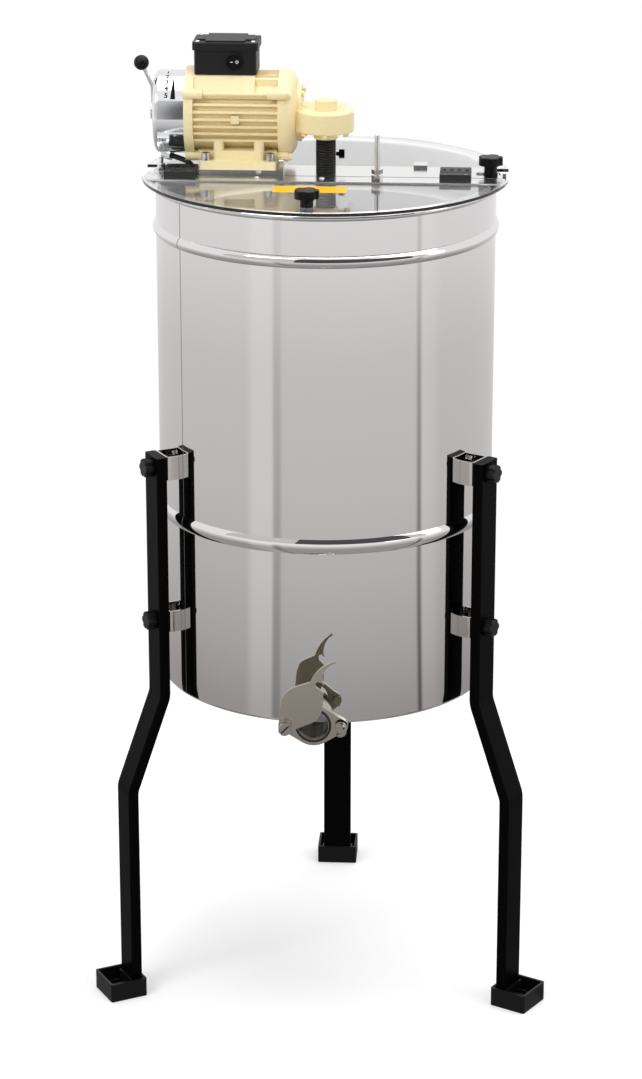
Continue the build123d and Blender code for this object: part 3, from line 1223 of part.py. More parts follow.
def variator_cup():
    """Plated cup over the variator, with the lever's pin and the lead's outlet."""
    end = STATOR_X[0] - SHIELD_THICKNESS
    start = end - VARIATOR_LENGTH
    cup = on_motor((start, end), 2 * VARIATOR_RADIUS)
    cup = fillet(cup.faces().sort_by(Axis.X)[0].edges(), VARIATOR_EDGE)
    first, corner, _ = lead_points()
    run = (corner - first).normalized()
    boss = rod(tuple(first - run * BOSS_LENGTH), tuple(first), BOSS_DIAMETER)
    cup += boss
    cup -= on_motor((start + VARIATOR_WEB, end), 2 * (VARIATOR_RADIUS - VARIATOR_WALL))
    pin_end = start - LEVER_GAP - LEVER_HUB_THICKNESS
    return cup + on_motor((pin_end, start), LEVER_PIN)


def lever_points():
    """Bend and ball centre of the speed lever, from its hub's middle."""
    face = STATOR_X[0] - SHIELD_THICKNESS - VARIATOR_LENGTH
    x = face - LEVER_GAP - LEVER_HUB_THICKNESS / 2
    lean = radians(LEVER_LEAN)

    def at(station, reach):
        return Vector(station, MOTOR_Y - reach * sin(lean), MOTOR_Z + reach * cos(lean))

    return at(x, LEVER_HUB / 4 + LEVER_PIN / 4), at(x, LEVER_ARM), at(x - LEVER_CRANK, LEVER_REACH)


def speed_lever():
    """Cranked rod on a hub that turns on the variator's pin."""
    root, bend, ball = lever_points()
    hub_x = root.X - LEVER_HUB_THICKNESS / 2
    hub = on_motor((hub_x, hub_x + LEVER_HUB_THICKNESS), LEVER_HUB)
    path = FilletPolyline(root, bend, ball, radius=LEVER_BEND)
    section = Plane(origin=root, z_dir=bend - root) * Circle(LEVER_ROD / 2)
    lever = hub + sweep(section, path=path)
    return lever - on_motor((hub_x, hub_x + LEVER_HUB_THICKNESS), LEVER_PIN + 2 * RUNNING_CLEARANCE)


def lever_ball():
    """Ball knob pressed on the end of the lever."""
    _, bend, ball = lever_points()
    knob = Pos(*ball) * Rot(0, 0, 180) * Sphere(BALL_DIAMETER / 2)
    hole_end = ball + (ball - bend).normalized() * LEVER_GAP
    return knob - rod(tuple(bend), tuple(hole_end), LEVER_ROD + 2 * SEAM_CLEARANCE)


def control_lead():
    """Round lead from the variator to the gland on the bar."""
    start, corner, end = lead_points()
    path = FilletPolyline(start, corner, end, radius=LEAD_BEND)
    section = Plane(origin=path @ 0, z_dir=path % 0) * Circle(LEAD_DIAMETER / 2)
    return sweep(section, path=path)


def lead_gland():
    """Grommet in the bar that takes the lead."""
    x, y = LEAD_GLAND_X, LEAD_GLAND_Y
    flange = rod((x, y, BAR_TOP), (x, y, BAR_TOP + GLAND_HEIGHT), GLAND_DIAMETER)
    return flange + rod((x, y, BAR_TOP - BAR_SHEET), (x, y, BAR_TOP), GLAND_HOLE - 2 * SEAM_CLEARANCE)


def output_shaft():
    """Drive shaft from the worm wheel down to the coupling."""
    low = COUPLING_MIDDLE + SHAFT_END_GAP
    high = HEAD_TOP - HEAD_WALL - SHAFT_END_GAP
    return rod((0, 0, low), (0, 0, high), OUTPUT_SHAFT)


def shaft_coupling():
    """Sleeve coupling between the drive shaft and the basket's shaft."""
    low = COUPLING_MIDDLE - COUPLING_LENGTH / 2
    high = COUPLING_MIDDLE + COUPLING_LENGTH / 2
    body = rod((0, 0, low), (0, 0, high), COUPLING_DIAMETER)
    body = chamfer(body.edges().filter_by(GeomType.CIRCLE), COUPLING_CHAMFER)
    body -= rod((0, 0, COUPLING_MIDDLE), (0, 0, high), OUTPUT_SHAFT + 2 * SEAM_CLEARANCE)
    return body - rod((0, 0, low), (0, 0, COUPLING_MIDDLE), BASKET_SHAFT + 2 * SEAM_CLEARANCE)


def basket_shaft():
    """Shaft that carries the basket, from the ball up to the coupling."""
    return rod((0, 0, SHAFT_FOOT), (0, 0, COUPLING_MIDDLE - SHAFT_END_GAP), BASKET_SHAFT)


def basket_wheel(z):
    """Welded wheel: hub, spokes between the frame slots, inner and outer ring."""
    half = WHEEL_HUB_HEIGHT / 2
    wheel = rod((0, 0, z - half), (0, 0, z + half), WHEEL_HUB)
    for number in range(FRAME_SLOTS):
        turn = 360 * (number + 0.5) / FRAME_SLOTS
        wheel += around(turn, rod((WHEEL_HUB / 4, 0, z), (BASKET_RADIUS, 0, z), SPOKE_DIAMETER))
    bar = BASKET_BAR / 2
    for radius in (BASKET_INNER_RADIUS, BASKET_RADIUS):
        wheel += ring((0, 0, z - bar), (0, 0, z + bar), 2 * (radius + bar), 2 * (radius - bar))
    return wheel - rod((0, 0, z - half), (0, 0, z + half), BASKET_SHAFT + 2 * SEAM_CLEARANCE)


def guide_rods():
    """Upright rods outside the rings, a pair for each frame slot."""
    radius = BASKET_RADIUS + BASKET_BAR / 2 + GUIDE_ROD / 2 + SEAM_CLEARANCE
    low = LOWER_WHEEL_Z - 2 * BASKET_BAR
    high = UPPER_WHEEL_Z + 2 * BASKET_BAR
    half_angle = degrees(asin((FRAME_SLOT_WIDTH + GUIDE_ROD) / 2 / radius))
    rods = []
    for number in range(FRAME_SLOTS):
        for side in (-half_angle, half_angle):
            turn = 360 * number / FRAME_SLOTS + side
            rods.append(around(turn, rod((radius, 0, low), (radius, 0, high), GUIDE_ROD)))
    return rods


def bearing_seat():
    """Cup on the drum's floor for the foot of the basket's shaft."""
    top = FLOOR_TOP + SEAT_HEIGHT
    seat = rod((0, 0, FLOOR_TOP), (0, 0, top), SEAT_DIAMETER)
    seat = chamfer(seat.faces().sort_by(Axis.Z)[-1].edges(), SEAT_HEIGHT / 4)
    return seat - rod((0, 0, SEAT_BORE_FLOOR), (0, 0, top), BASKET_SHAFT + 2 * RUNNING_CLEARANCE)


def bearing_ball():
    """Ball that carries the basket's weight."""
    return Pos(0, 0, SEAT_BORE_FLOOR + BEARING_BALL / 2) * Sphere(BEARING_BALL / 2)


os.makedirs("parts", exist_ok=True)
save("drum_wall", drum_wall())
save("drum_floor", drum_floor())
for name, angle in zip(LEG_NAMES, LEG_ANGLES):
    save(f"leg_{name}", around(angle, leg_tube()))
save("feet", *[around(angle, foot()) for angle in LEG_ANGLES])
save("leg_brackets", *[around(angle, leg_bracket(*spot)) for angle in LEG_ANGLES for spot in BRACKETS])
save("leg_bolts", *[around(angle, leg_bolt(spot[0])) for angle in LEG_ANGLES for spot in BRACKETS])
save("leg_bolt_caps", *[around(angle, leg_cap(spot[0])) for angle in LEG_ANGLES for spot in BRACKETS])
save("outlet_pipe", outlet_pipe())
save("gate_body", gate_body())
save("gate_seal", gate_seal())
screw_seat = -PLATE_FRONT_Y + NUT_GAP
save("gate_pivot_screw", gate_stud(-STUD_X, screw_seat) + thumb_head(-STUD_X, screw_seat))
save("gate_clamp_stud", gate_stud(STUD_X, screw_seat + THUMB_NUT_LENGTH - SCREW_SLOT_DEPTH))
nut_bore = Pos(STUD_X, 0) * Circle(GATE_STUD_DIAMETER / 2 + RUNNING_CLEARANCE)
nut_bore = gate_sheet(nut_bore, screw_seat, screw_seat + THUMB_NUT_LENGTH)
save("gate_clamp_nut", thumb_head(STUD_X, screw_seat) - nut_bore)
save("gate_plate", gate_plate())
save("crossbar", crossbar())
save("bar_lugs", bar_lug(-1), bar_lug(1))
save("bar_clamp_knob", bar_clamp_knob())
save("bar_end_bolt", bar_end_bolt())
save("bar_end_pad", bar_end_pad())
save("rear_lid", half_lid(1))
save("rear_lid_clip", rear_lid_clip())
save("front_lid_panel", half_lid(-1))
save("lid_edge_strip", lid_edge_strip())
save("lid_knob", star_knob(LID_KNOB_X, LID_KNOB_Y, LID_TOP, LID_KNOB_NECK_HEIGHT))
save("lid_stop_rod", lid_stop_rod())
save("hinge_bar_leaves", *[hinge_leaf(x, 1) for x in HINGE_X])
save("hinge_lid_leaves", *[hinge_leaf(x, -1) for x in HINGE_X])
save("hinge_pins", *[hinge_pin(x) for x in HINGE_X])
save("motor_plate", motor_plate())
save("motor_housing", motor_housing())
save("variator_shield", variator_shield())
save("drive_bell", drive_bell())
save("foot_bolts", *[foot_bolt(*spot) for spot in foot_bolt_spots()])
bolts = [tie_bolt(number) for number in range(4)]
bolts += [head_bolt(number) for number in range(HEAD_BOLTS)]
bolts += [flange_bolt(number) for number in range(4)]
save("case_bolts", *bolts)
rear_bearing = (STATOR_X[0] - BEARING_WIDTH, STATOR_X[0])
save("motor_bearings", motor_bearing(rear_bearing), motor_bearing(bell_bearing_x()))
save("rotor", rotor())
save("worm_wheel", worm_wheel())
save("output_shaft", output_shaft())
save("gear_housing", gear_housing())
save("gear_cap", gear_cap())
save("shaft_sleeve", shaft_sleeve())
save("sleeve_screw", sleeve_screw())
save("terminal_box", terminal_box())
save("terminal_box_lid", terminal_box_lid())
save("switch_bezel", switch_bezel())
save("switch_rocker", switch_rocker())
save("variator_cup", variator_cup())
save("speed_lever", speed_lever())
save("lever_ball", lever_ball())
save("control_lead", control_lead())
save("lead_gland", lead_gland())
save("shaft_coupling", shaft_coupling())
save("basket_shaft", basket_shaft())
save("basket_lower_wheel", basket_wheel(LOWER_WHEEL_Z))
save("basket_upper_wheel", basket_wheel(UPPER_WHEEL_Z))
save("basket_guides", *guide_rods())
save("bearing_seat", bearing_seat())
save("bearing_ball", bearing_ball())
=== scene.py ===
import math

import bmesh
import bpy
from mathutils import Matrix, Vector


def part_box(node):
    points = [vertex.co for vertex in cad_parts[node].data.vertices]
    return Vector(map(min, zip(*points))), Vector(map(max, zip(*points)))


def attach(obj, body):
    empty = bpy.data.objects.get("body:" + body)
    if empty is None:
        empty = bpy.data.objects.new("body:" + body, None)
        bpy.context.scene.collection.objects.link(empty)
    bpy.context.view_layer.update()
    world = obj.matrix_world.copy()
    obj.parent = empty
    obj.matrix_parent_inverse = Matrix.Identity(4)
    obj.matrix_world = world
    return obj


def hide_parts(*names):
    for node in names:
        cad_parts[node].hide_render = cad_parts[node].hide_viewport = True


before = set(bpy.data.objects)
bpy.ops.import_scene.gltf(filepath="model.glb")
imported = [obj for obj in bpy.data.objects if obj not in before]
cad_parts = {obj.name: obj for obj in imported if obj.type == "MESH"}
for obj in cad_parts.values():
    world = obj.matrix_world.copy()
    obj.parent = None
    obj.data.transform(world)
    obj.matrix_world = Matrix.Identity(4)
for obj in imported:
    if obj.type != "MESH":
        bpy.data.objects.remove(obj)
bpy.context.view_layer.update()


# Camera: a long lens about 4.3 m in front of the drum and 2 m above the floor, a little to the right
# of the honey gate, so that the lid shows as a narrow ellipse and the legs stay nearly upright.
def add_object(name, data):
    """New object in the scene."""
    made = bpy.data.objects.new(name, data)
    bpy.context.scene.collection.objects.link(made)
    return made


camera = add_object("camera", bpy.data.cameras.new("camera"))
camera.data.sensor_fit = "VERTICAL"
camera.data.sensor_height = 36.0
camera.data.lens = 109.6
camera.location = (0.2537, -4.2534, 2.0511)
camera.rotation_euler = (math.radians(71.35), 0.0, math.radians(3.5))
bpy.context.scene.camera = camera
bpy.context.scene.view_settings.view_transform = "Standard"


# Studio: a white paper floor that runs out of the picture, three large soft boxes and three upright
# cards that glow and show only in reflections. In polished metal the paper shows a painted reflection
# that
# glows: painted shade, greyer close to the drum, and painted lighter and darker bands round it.
def linear(code):
    """Linear colour of an sRGB hex code."""
    parts = [int(code[i:i + 2], 16) / 255 for i in (1, 3, 5)]
    return [p / 12.92 if p <= 0.04045 else ((p + 0.055) / 1.055) ** 2.4 for p in parts] + [1.0]


def add_node(tree, kind, settings=None, inputs=None, stops=None):
    """Add a node with its settings; an input given as a socket is linked, any other is set."""
    node = tree.nodes.new(kind)
    for name, value in (settings or {}).items():
        setattr(node, name, value)
    for name, value in (inputs or {}).items():
        if isinstance(value, bpy.types.NodeSocket):
            tree.links.new(value, node.inputs[name])
        else:
            node.inputs[name].default_value = value
    for index, (place, code) in enumerate(stops or ()):
        elements = node.color_ramp.elements
        element = elements[index] if index < 2 else elements.new(place)
        element.position = place
        element.color = linear(code)
    return node


def new_material(name):
    """Material and its node tree, which is empty."""
    material = bpy.data.materials.new(name)
    material.use_nodes = True
    material.node_tree.nodes.clear()
    return material, material.node_tree


def bearing_of(tree, vector):
    """Bearing of a vector about the drum's axis, from the gate: 0 to 1 for -180 to 180 degrees."""
    parts = add_node(tree, "ShaderNodeSeparateXYZ", inputs={0: vector})
    front = add_node(tree, "ShaderNodeMath", {"operation": "MULTIPLY"}, {0: parts.outputs["Y"], 1: -1.0})
    turn = add_node(
        tree, "ShaderNodeMath", {"operation": "ARCTAN2"}, {0: parts.outputs["X"], 1: front.outputs[0]}
    )
    bearing = add_node(
        tree,
        "ShaderNodeMapRange",
        inputs={"Value": turn.outputs[0], "From Min": -math.pi, "From Max": math.pi},
    )
    return bearing.outputs["Result"]


def mirror_rays(tree):
    """Light path node, and a socket that is 1 for reflected and refracted rays."""
    path = add_node(tree, "ShaderNodeLightPath")
    sharp = add_node(
        tree,
        "ShaderNodeMath",
        {"operation": "MAXIMUM"},
        {0: path.outputs["Is Glossy Ray"], 1: path.outputs["Is Transmission Ray"]},
    )
    return path, sharp.outputs[0]


AMBIENT = 0.45
world = bpy.data.worlds.new("studio_surroundings")
bpy.context.scene.world = world
world.use_nodes = True
tree = world.node_tree
tree.nodes.clear()
path, sharp = mirror_rays(tree)
seen = add_node(
    tree, "ShaderNodeMath", {"operation": "MAXIMUM"}, {0: path.outputs["Is Camera Ray"], 1: sharp}
)
ambient = add_node(tree, "ShaderNodeBackground", inputs={"Color": linear("#FFFFFF"), "Strength": AMBIENT})
backdrop = add_node(tree, "ShaderNodeBackground", inputs={"Color": linear("#FFFFFF"), "Strength": 1.0})
mixed = add_node(
    tree,
    "ShaderNodeMixShader",
    inputs={0: seen.outputs[0], 1: ambient.outputs[0], 2: backdrop.outputs[0]},
)
add_node(tree, "ShaderNodeOutputWorld", inputs={"Surface": mixed.outputs[0]})

FLOOR_SIDE = 40.0
FLOOR_DROP = 0.0006
FLOOR_PALE = 7.0
SHADOW_REACH = (0.55, 1.5)
PAINTED_REFLECTION_GAIN = 1.25
BAND_FADE = (1.6, 4.6)
BAND_FAR = 0.3
# Painted bands of the reflected paper, by bearing round the drum: lighter and darker strips and two dark
# lines.
PAINTED_REFLECTION_BANDS = (
    (-180.0, "#E7E7E7"),
    (-50.0, "#E7E7E7"),
    (-45.0, "#FFFFFF"),
    (-32.0, "#FFFFFF"),
    (-30.5, "#C2C2C2"),
    (-27.0, "#C2C2C2"),
    (-25.0, "#E7E7E7"),
    (65.5, "#E7E7E7"),
    (66.5, "#7A7A7A"),
    (68.3, "#7A7A7A"),
    (69.5, "#F4F4F4"),
    (78.0, "#F0F0F0"),
    (86.0, "#E0E0E0"),
    (180.0, "#E7E7E7"),
)
paper, tree = new_material("white_studio_paper")
path, sharp = mirror_rays(tree)
place = add_node(tree, "ShaderNodeTexCoord").outputs
reach = add_node(tree, "ShaderNodeVectorMath", {"operation": "LENGTH"}, {0: place["Object"]})
span = add_node(
    tree,
    "ShaderNodeMapRange",
    inputs={"Value": reach.outputs["Value"], "From Min": 0.0, "From Max": FLOOR_PALE},
)
painted_shade_tone = add_node(
    tree,
    "ShaderNodeValToRGB",
    inputs={"Fac": span.outputs["Result"]},
    stops=(
        (0.00, "#A19E9D"),
        (0.19, "#A8A5A4"),
        (0.23, "#BBB9B8"),
        (0.29, "#CBC9C8"),
        (0.36, "#D5D3D2"),
        (0.50, "#DCDAD9"),
        (0.66, "#F2F0F0"),
        (1.00, "#FFFFFF"),
    ),
)
painted_bands = add_node(
    tree,
    "ShaderNodeValToRGB",
    inputs={"Fac": bearing_of(tree, place["Object"])},
    stops=[((bearing + 180.0) / 360.0, code) for bearing, code in PAINTED_REFLECTION_BANDS],
)
fade = add_node(
    tree,
    "ShaderNodeMapRange",
    inputs={
        "Value": reach.outputs["Value"],
        "From Min": BAND_FADE[0],
        "From Max": BAND_FADE[1],
        "To Min": 1.0,
        "To Max": BAND_FAR,
    },
)
faded = add_node(
    tree,
    "ShaderNodeMixRGB",
    inputs={"Fac": fade.outputs["Result"], "Color1": linear("#E7E7E7"), "Color2": painted_bands.outputs["Color"]},
)
painted_reflection_colour = add_node(
    tree,
    "ShaderNodeMixRGB",
    {"blend_type": "MULTIPLY"},
    {"Fac": 1.0, "Color1": painted_shade_tone.outputs["Color"], "Color2": faded.outputs["Color"]},
)
lit = add_node(tree, "ShaderNodeBsdfDiffuse", inputs={"Color": linear("#F0F0F0")})
glow = add_node(tree, "ShaderNodeEmission", inputs={"Color": linear("#8C8C8C"), "Strength": 1.0})
shadowed = add_node(tree, "ShaderNodeAddShader", inputs={0: lit.outputs[0], 1: glow.outputs[0]})
white = add_node(tree, "ShaderNodeEmission", inputs={"Color": linear("#FFFFFF"), "Strength": 1.0})
away = add_node(
    tree,
    "ShaderNodeMapRange",
    {"interpolation_type": "SMOOTHSTEP"},
    {"Value": reach.outputs["Value"], "From Min": SHADOW_REACH[0], "From Max": SHADOW_REACH[1]},
)
shown = add_node(
    tree,
    "ShaderNodeMixShader",
    inputs={0: away.outputs["Result"], 1: shadowed.outputs[0], 2: white.outputs[0]},
)
direct = add_node(
    tree,
    "ShaderNodeMixShader",
    inputs={0: path.outputs["Is Camera Ray"], 1: lit.outputs[0], 2: shown.outputs[0]},
)
# Reflected and refracted rays see the paper glow with this painted reflection and painted shade, not lit
# paper.
painted_reflection = add_node(
    tree, "ShaderNodeEmission", inputs={"Color": painted_reflection_colour.outputs["Color"], "Strength": PAINTED_REFLECTION_GAIN}
)
mixed = add_node(
    tree, "ShaderNodeMixShader", inputs={0: sharp, 1: direct.outputs[0], 2: painted_reflection.outputs[0]}
)
add_node(tree, "ShaderNodeOutputMaterial", inputs={"Surface": mixed.outputs[0]})

half = FLOOR_SIDE / 2
floor_mesh = bpy.data.meshes.new("floor")
floor_mesh.from_pydata(
    [
        (-half, -half, -FLOOR_DROP),
        (half, -half, -FLOOR_DROP),
        (half, half, -FLOOR_DROP),
        (-half, half, -FLOOR_DROP),
    ],
    [],
    [(0, 1, 2, 3)],
)
floor_mesh.materials.append(paper)
floor = add_object("floor", floor_mesh)

# Cards: a dark one between two pale grey ones, which glow and are seen only in reflections, as a painted
# reflection. They stand high enough to show in the polished beads, where they draw the beads' shape as
# painted dark bands, and the pale ones hide the lamps' glints there.
CARD_PLACE = -1.25
CARD_EDGES = (-2.6, -0.345, 2.1, 4.2)
CARD_UP = (0.905, 2.2)
CARD_FACES = (
    ("pale_painted_reflection_card_left", "#D8D7D6"),
    ("dark_painted_reflection_card", "#545356"),
    ("pale_painted_reflection_card_right", "#D8D7D6"),
)
card_mesh = bpy.data.meshes.new("cards")
card_mesh.from_pydata(
    [(x, CARD_PLACE, z) for x in CARD_EDGES for z in CARD_UP],
    [],
    [(2 * face, 2 * face + 2, 2 * face + 3, 2 * face + 1) for face in range(len(CARD_FACES))],
)
# Each card glows in its own colour: a painted reflection, not a lamp.
for face, (name, code) in enumerate(CARD_FACES):
    card_painted_reflection, tree = new_material(name)
    glow = add_node(tree, "ShaderNodeEmission", inputs={"Color": linear(code), "Strength": 1.0})
    add_node(tree, "ShaderNodeOutputMaterial", inputs={"Surface": glow.outputs[0]})
    card_mesh.materials.append(card_painted_reflection)
    card_mesh.polygons[face].material_index = face
cards = add_object("cards", card_mesh)
cards.visible_camera = False
cards.visible_diffuse = False
cards.visible_transmission = False
cards.visible_shadow = False

LAMPS = (
    ("key_box", (-2.4, -3.2, 3.6), 2.6, 95.0),
    ("top_box", (0.6, 0.4, 4.6), 4.0, 110.0),
    ("side_box", (3.2, -1.6, 2.4), 3.2, 38.0),
)
LAMP_AIM = Vector((0.0, 0.0, 0.9))
for name, spot, side, power in LAMPS:
    lamp = bpy.data.lights.new(name, "AREA")
    lamp.shape = "SQUARE"
    lamp.size = side
    lamp.energy = power
    box = add_object(name, lamp)
    box.location = spot
    box.rotation_euler = (LAMP_AIM - Vector(spot)).to_track_quat("-Z", "Y").to_euler()


# Drum: 1 mm stainless sheet rolled into a wall with two swaged beads and a wired rim, welded to a
# pressed pan and to the outlet pipe, then polished to a mirror outside.
def dress(material, *names):
    """Give CAD nodes a material."""
    for name in names:
        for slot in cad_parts[name].material_slots:
            slot.material = material


# Polished stainless sheet: a sharp grey reflection outside, waved a little by the rolling and hazed by
# the buffing wheel. Inside, the sheet keeps its pale mill finish.
SHEET_WAVE = 0.11
BUFF_HAZE = 0.035
INSIDE_EDGE = 0.001
ROLLED_STRETCH = (1.0, 1.0, 0.3)
drum_sheet, tree = new_material("polished_stainless_sheet")
place = add_node(tree, "ShaderNodeTexCoord").outputs
upright = add_node(
    tree, "ShaderNodeMapping", inputs={"Vector": place["Object"], "Scale": ROLLED_STRETCH}
)
wave = add_node(
    tree,
    "ShaderNodeTexNoise",
    inputs={"Vector": upright.outputs[0], "Scale": 1 / SHEET_WAVE, "Detail": 1.0},
)
haze = add_node(
    tree,
    "ShaderNodeTexNoise",
    inputs={"Vector": upright.outputs[0], "Scale": 1 / BUFF_HAZE, "Detail": 3.0},
)
polish = add_node(
    tree,
    "ShaderNodeMapRange",
    inputs={"Value": haze.outputs["Fac"], "To Min": 0.02, "To Max": 0.06},
)
level = add_node(
    tree,
    "ShaderNodeVectorMath",
    {"operation": "MULTIPLY"},
    {0: place["Object"], 1: (1.0, 1.0, 0.0)},
)
outward = add_node(
    tree,
    "ShaderNodeVectorMath",
    {"operation": "DOT_PRODUCT"},
    {0: level.outputs["Vector"], 1: place["Normal"]},
)
inside = add_node(
    tree,
    "ShaderNodeMapRange",
    inputs={"Value": outward.outputs["Value"], "From Min": INSIDE_EDGE, "From Max": -INSIDE_EDGE},
)
rough = add_node(
    tree,
    "ShaderNodeMapRange",
    inputs={"Value": inside.outputs["Result"], "To Min": polish.outputs["Result"], "To Max": 0.38},
)
tint = add_node(
    tree,
    "ShaderNodeValToRGB",
    inputs={"Fac": inside.outputs["Result"]},
    stops=((0.0, "#DEDDDD"), (1.0, "#F2F2F2")),
)
metal = add_node(
    tree,
    "ShaderNodeMapRange",
    inputs={"Value": inside.outputs["Result"], "To Min": 1.0, "To Max": 0.4},
)
bump = add_node(
    tree,
    "ShaderNodeBump",
    inputs={"Height": wave.outputs["Fac"], "Strength": 0.1, "Distance": 0.002},
)
steel = add_node(
    tree,
    "ShaderNodeBsdfPrincipled",
    inputs={
        "Base Color": tint.outputs["Color"],
        "Metallic": metal.outputs["Result"],
        "Roughness": rough.outputs["Result"],
        "Normal": bump.outputs["Normal"],
    },
)
add_node(tree, "ShaderNodeOutputMaterial", inputs={"Surface": steel.outputs["BSDF"]})
dress(drum_sheet, "drum_wall", "drum_floor")


def add_piece(name, vertices, faces, material, body):
    """New piece from points in the shared frame, riding on a body."""
    mesh = bpy.data.meshes.new(name)
    mesh.from_pydata(vertices, [], faces)
    shell = bmesh.new()
    shell.from_mesh(mesh)
    bmesh.ops.recalc_face_normals(shell, faces=shell.faces)
    shell.to_mesh(mesh)
    shell.free()
    mesh.materials.append(material)
    piece = add_object(name, mesh)
    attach(piece, body)


def tube_faces(rings):
    """Faces of a tube with closed ends, through rings of four points each."""
    last = 4 * (rings - 1)
    faces = [(0, 1, 2, 3), (last, last + 1, last + 2, last + 3)]
    for start in range(0, last, 4):
        for corner in range(4):
            follow = (corner + 1) % 4
            faces.append((start + corner, start + follow, start + 4 + follow, start + 4 + corner))
    return faces


# Weld seam: the edges of the wall's sheet, welded together and ground nearly flush, which leaves a thin
# line up the drum and over both beads.
SEAM_BEARING = math.radians(-53.5)
SEAM_HALF = 0.0007
SEAM_PROUD = 0.00012
SEAM_SUNK = 0.0004
BEADS = ((0.678, 0.020, 0.0032), (1.057, 0.016, 0.0045))
SEAM_ENDS = (0.437, 1.110)
BEAD_STEPS = 8
WALL_OUTSIDE_PAN = 0.00105
low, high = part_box("drum_floor")
wall_radius = (high[0] - low[0]) / 2 + WALL_OUTSIDE_PAN
profile = [(SEAM_ENDS[0], 0.0)]
for middle, tall, deep in BEADS:
    arc_radius = (tall ** 2 / 4 + deep ** 2) / (2 * deep)
    for step in range(BEAD_STEPS + 1):
        rise = tall * (step / BEAD_STEPS - 0.5)
        profile.append((middle + rise, deep - arc_radius + math.sqrt(arc_radius ** 2 - rise ** 2)))
profile.append((SEAM_ENDS[1], 0.0))
outward = Vector((math.sin(SEAM_BEARING), -math.cos(SEAM_BEARING), 0.0))
sideways = Vector((math.cos(SEAM_BEARING), math.sin(SEAM_BEARING), 0.0))
vertices = []
for z, bulge in profile:
    for lift, side in ((SEAM_PROUD, -1), (SEAM_PROUD, 1), (-SEAM_SUNK, 1), (-SEAM_SUNK, -1)):
        spot = outward * (wall_radius + bulge + lift) + sideways * side * SEAM_HALF
        vertices.append(spot + Vector((0, 0, z)))
faces = tube_faces(len(profile))


def lined_metal(name, colour, line, detail, rough, stretch=None):
    """Bare metal whose gloss follows fine lines of the given size."""
    material, tree = new_material(name)
    place = add_node(tree, "ShaderNodeTexCoord").outputs["Object"]
    if stretch:
        place = add_node(tree, "ShaderNodeMapping", inputs={"Vector": place, "Scale": stretch}).outputs[0]
    lines = add_node(
        tree, "ShaderNodeTexNoise", inputs={"Vector": place, "Scale": 1 / line, "Detail": detail}
    )
    gloss = add_node(
        tree,
        "ShaderNodeMapRange",
        inputs={"Value": lines.outputs["Fac"], "To Min": rough[0], "To Max": rough[1]},
    )
    metal = add_node(
        tree,
        "ShaderNodeBsdfPrincipled",
        inputs={"Base Color": linear(colour), "Metallic": 1.0, "Roughness": gloss.outputs["Result"]},
    )
    add_node(tree, "ShaderNodeOutputMaterial", inputs={"Surface": metal.outputs["BSDF"]})
    return material


# Dressed weld in stainless: ground across, so duller and greyer than the polished sheet. Its grinding
# lines are drawn coarser than they are, so that they show.
WELD_LINES = 0.0008
weld = lined_metal("ground_stainless_weld", "#A5A3A1", WELD_LINES, detail=2.0, rough=(0.12, 0.22))
add_piece("drum_weld_seam", vertices, faces, weld, "stand")


# Legs: flat steel tube bent twice and coated black, each in a moulded plastic foot, bolted through two
# U-brackets of polished strip with black lobed caps on the bolt heads.

# Polished stainless strip: a bright sharp reflection with scratches along the strip, drawn coarser than
# they are so that they show.
SCRATCH = 0.0015
STRIP_STRETCH = (1.0, 1.0, 0.1)
polished_strip = lined_metal(
    "polished_stainless_strip", "#CFCDCB", SCRATCH, detail=2.0, rough=(0.05, 0.14), stretch=STRIP_STRETCH
)
dress(polished_strip, "leg_brackets")

# Black enamel on steel tube: very dark, with a soft gloss and a slight orange peel.
PEEL = 0.0022
leg_black, tree = new_material("black_enamel_on_steel")
place = add_node(tree, "ShaderNodeTexCoord").outputs
peel = add_node(
    tree, "ShaderNodeTexNoise", inputs={"Vector": place["Object"], "Scale": 1 / PEEL, "Detail": 2.0}
)
bump = add_node(
    tree,
    "ShaderNodeBump",
    inputs={"Height": peel.outputs["Fac"], "Strength": 0.08, "Distance": 0.0003},
)
coat = add_node(
    tree,
    "ShaderNodeBsdfPrincipled",
    inputs={
        "Base Color": linear("#040404"),
        "Roughness": 0.36,
        "Specular IOR Level": 0.03,
        "Normal": bump.outputs["Normal"],
    },
)
add_node(tree, "ShaderNodeOutputMaterial", inputs={"Surface": coat.outputs["BSDF"]})
dress(leg_black, "leg_left", "leg_right", "leg_rear")

GRAIN_DEPTH = 0.0002


def moulded_plastic(name, colour, grain, rough, sheen, relief):
    """Plastic that took the grain of its mould."""
    material, tree = new_material(name)
    place = add_node(tree, "ShaderNodeTexCoord").outputs
    skin = add_node(
        tree, "ShaderNodeTexNoise", inputs={"Vector": place["Object"], "Scale": 1 / grain, "Detail": 2.0}
    )
    gloss = add_node(
        tree,
        "ShaderNodeMapRange",
        inputs={"Value": skin.outputs["Fac"], "To Min": rough[0], "To Max": rough[1]},
    )
    bump = add_node(
        tree,
        "ShaderNodeBump",
        inputs={"Height": skin.outputs["Fac"], "Strength": relief, "Distance": GRAIN_DEPTH},
    )
    plastic = add_node(
        tree,
        "ShaderNodeBsdfPrincipled",
        inputs={
            "Base Color": linear(colour),
            "Roughness": gloss.outputs["Result"],
            "Specular IOR Level": sheen,
            "Normal": bump.outputs["Normal"],
        },
    )
    add_node(tree, "ShaderNodeOutputMaterial", inputs={"Surface": plastic.outputs["BSDF"]})
    return material


# Moulded black polypropylene: a soft sheen over a spark eroded grain, drawn coarser than it is so that
# it shows.
GRAIN = 0.0011
moulded_black = moulded_plastic(
    "moulded_black_polypropylene", "#0A0A0B", GRAIN, rough=(0.32, 0.48), sheen=0.22, relief=0.15
)
dress(moulded_black, "feet", "leg_bolt_caps")

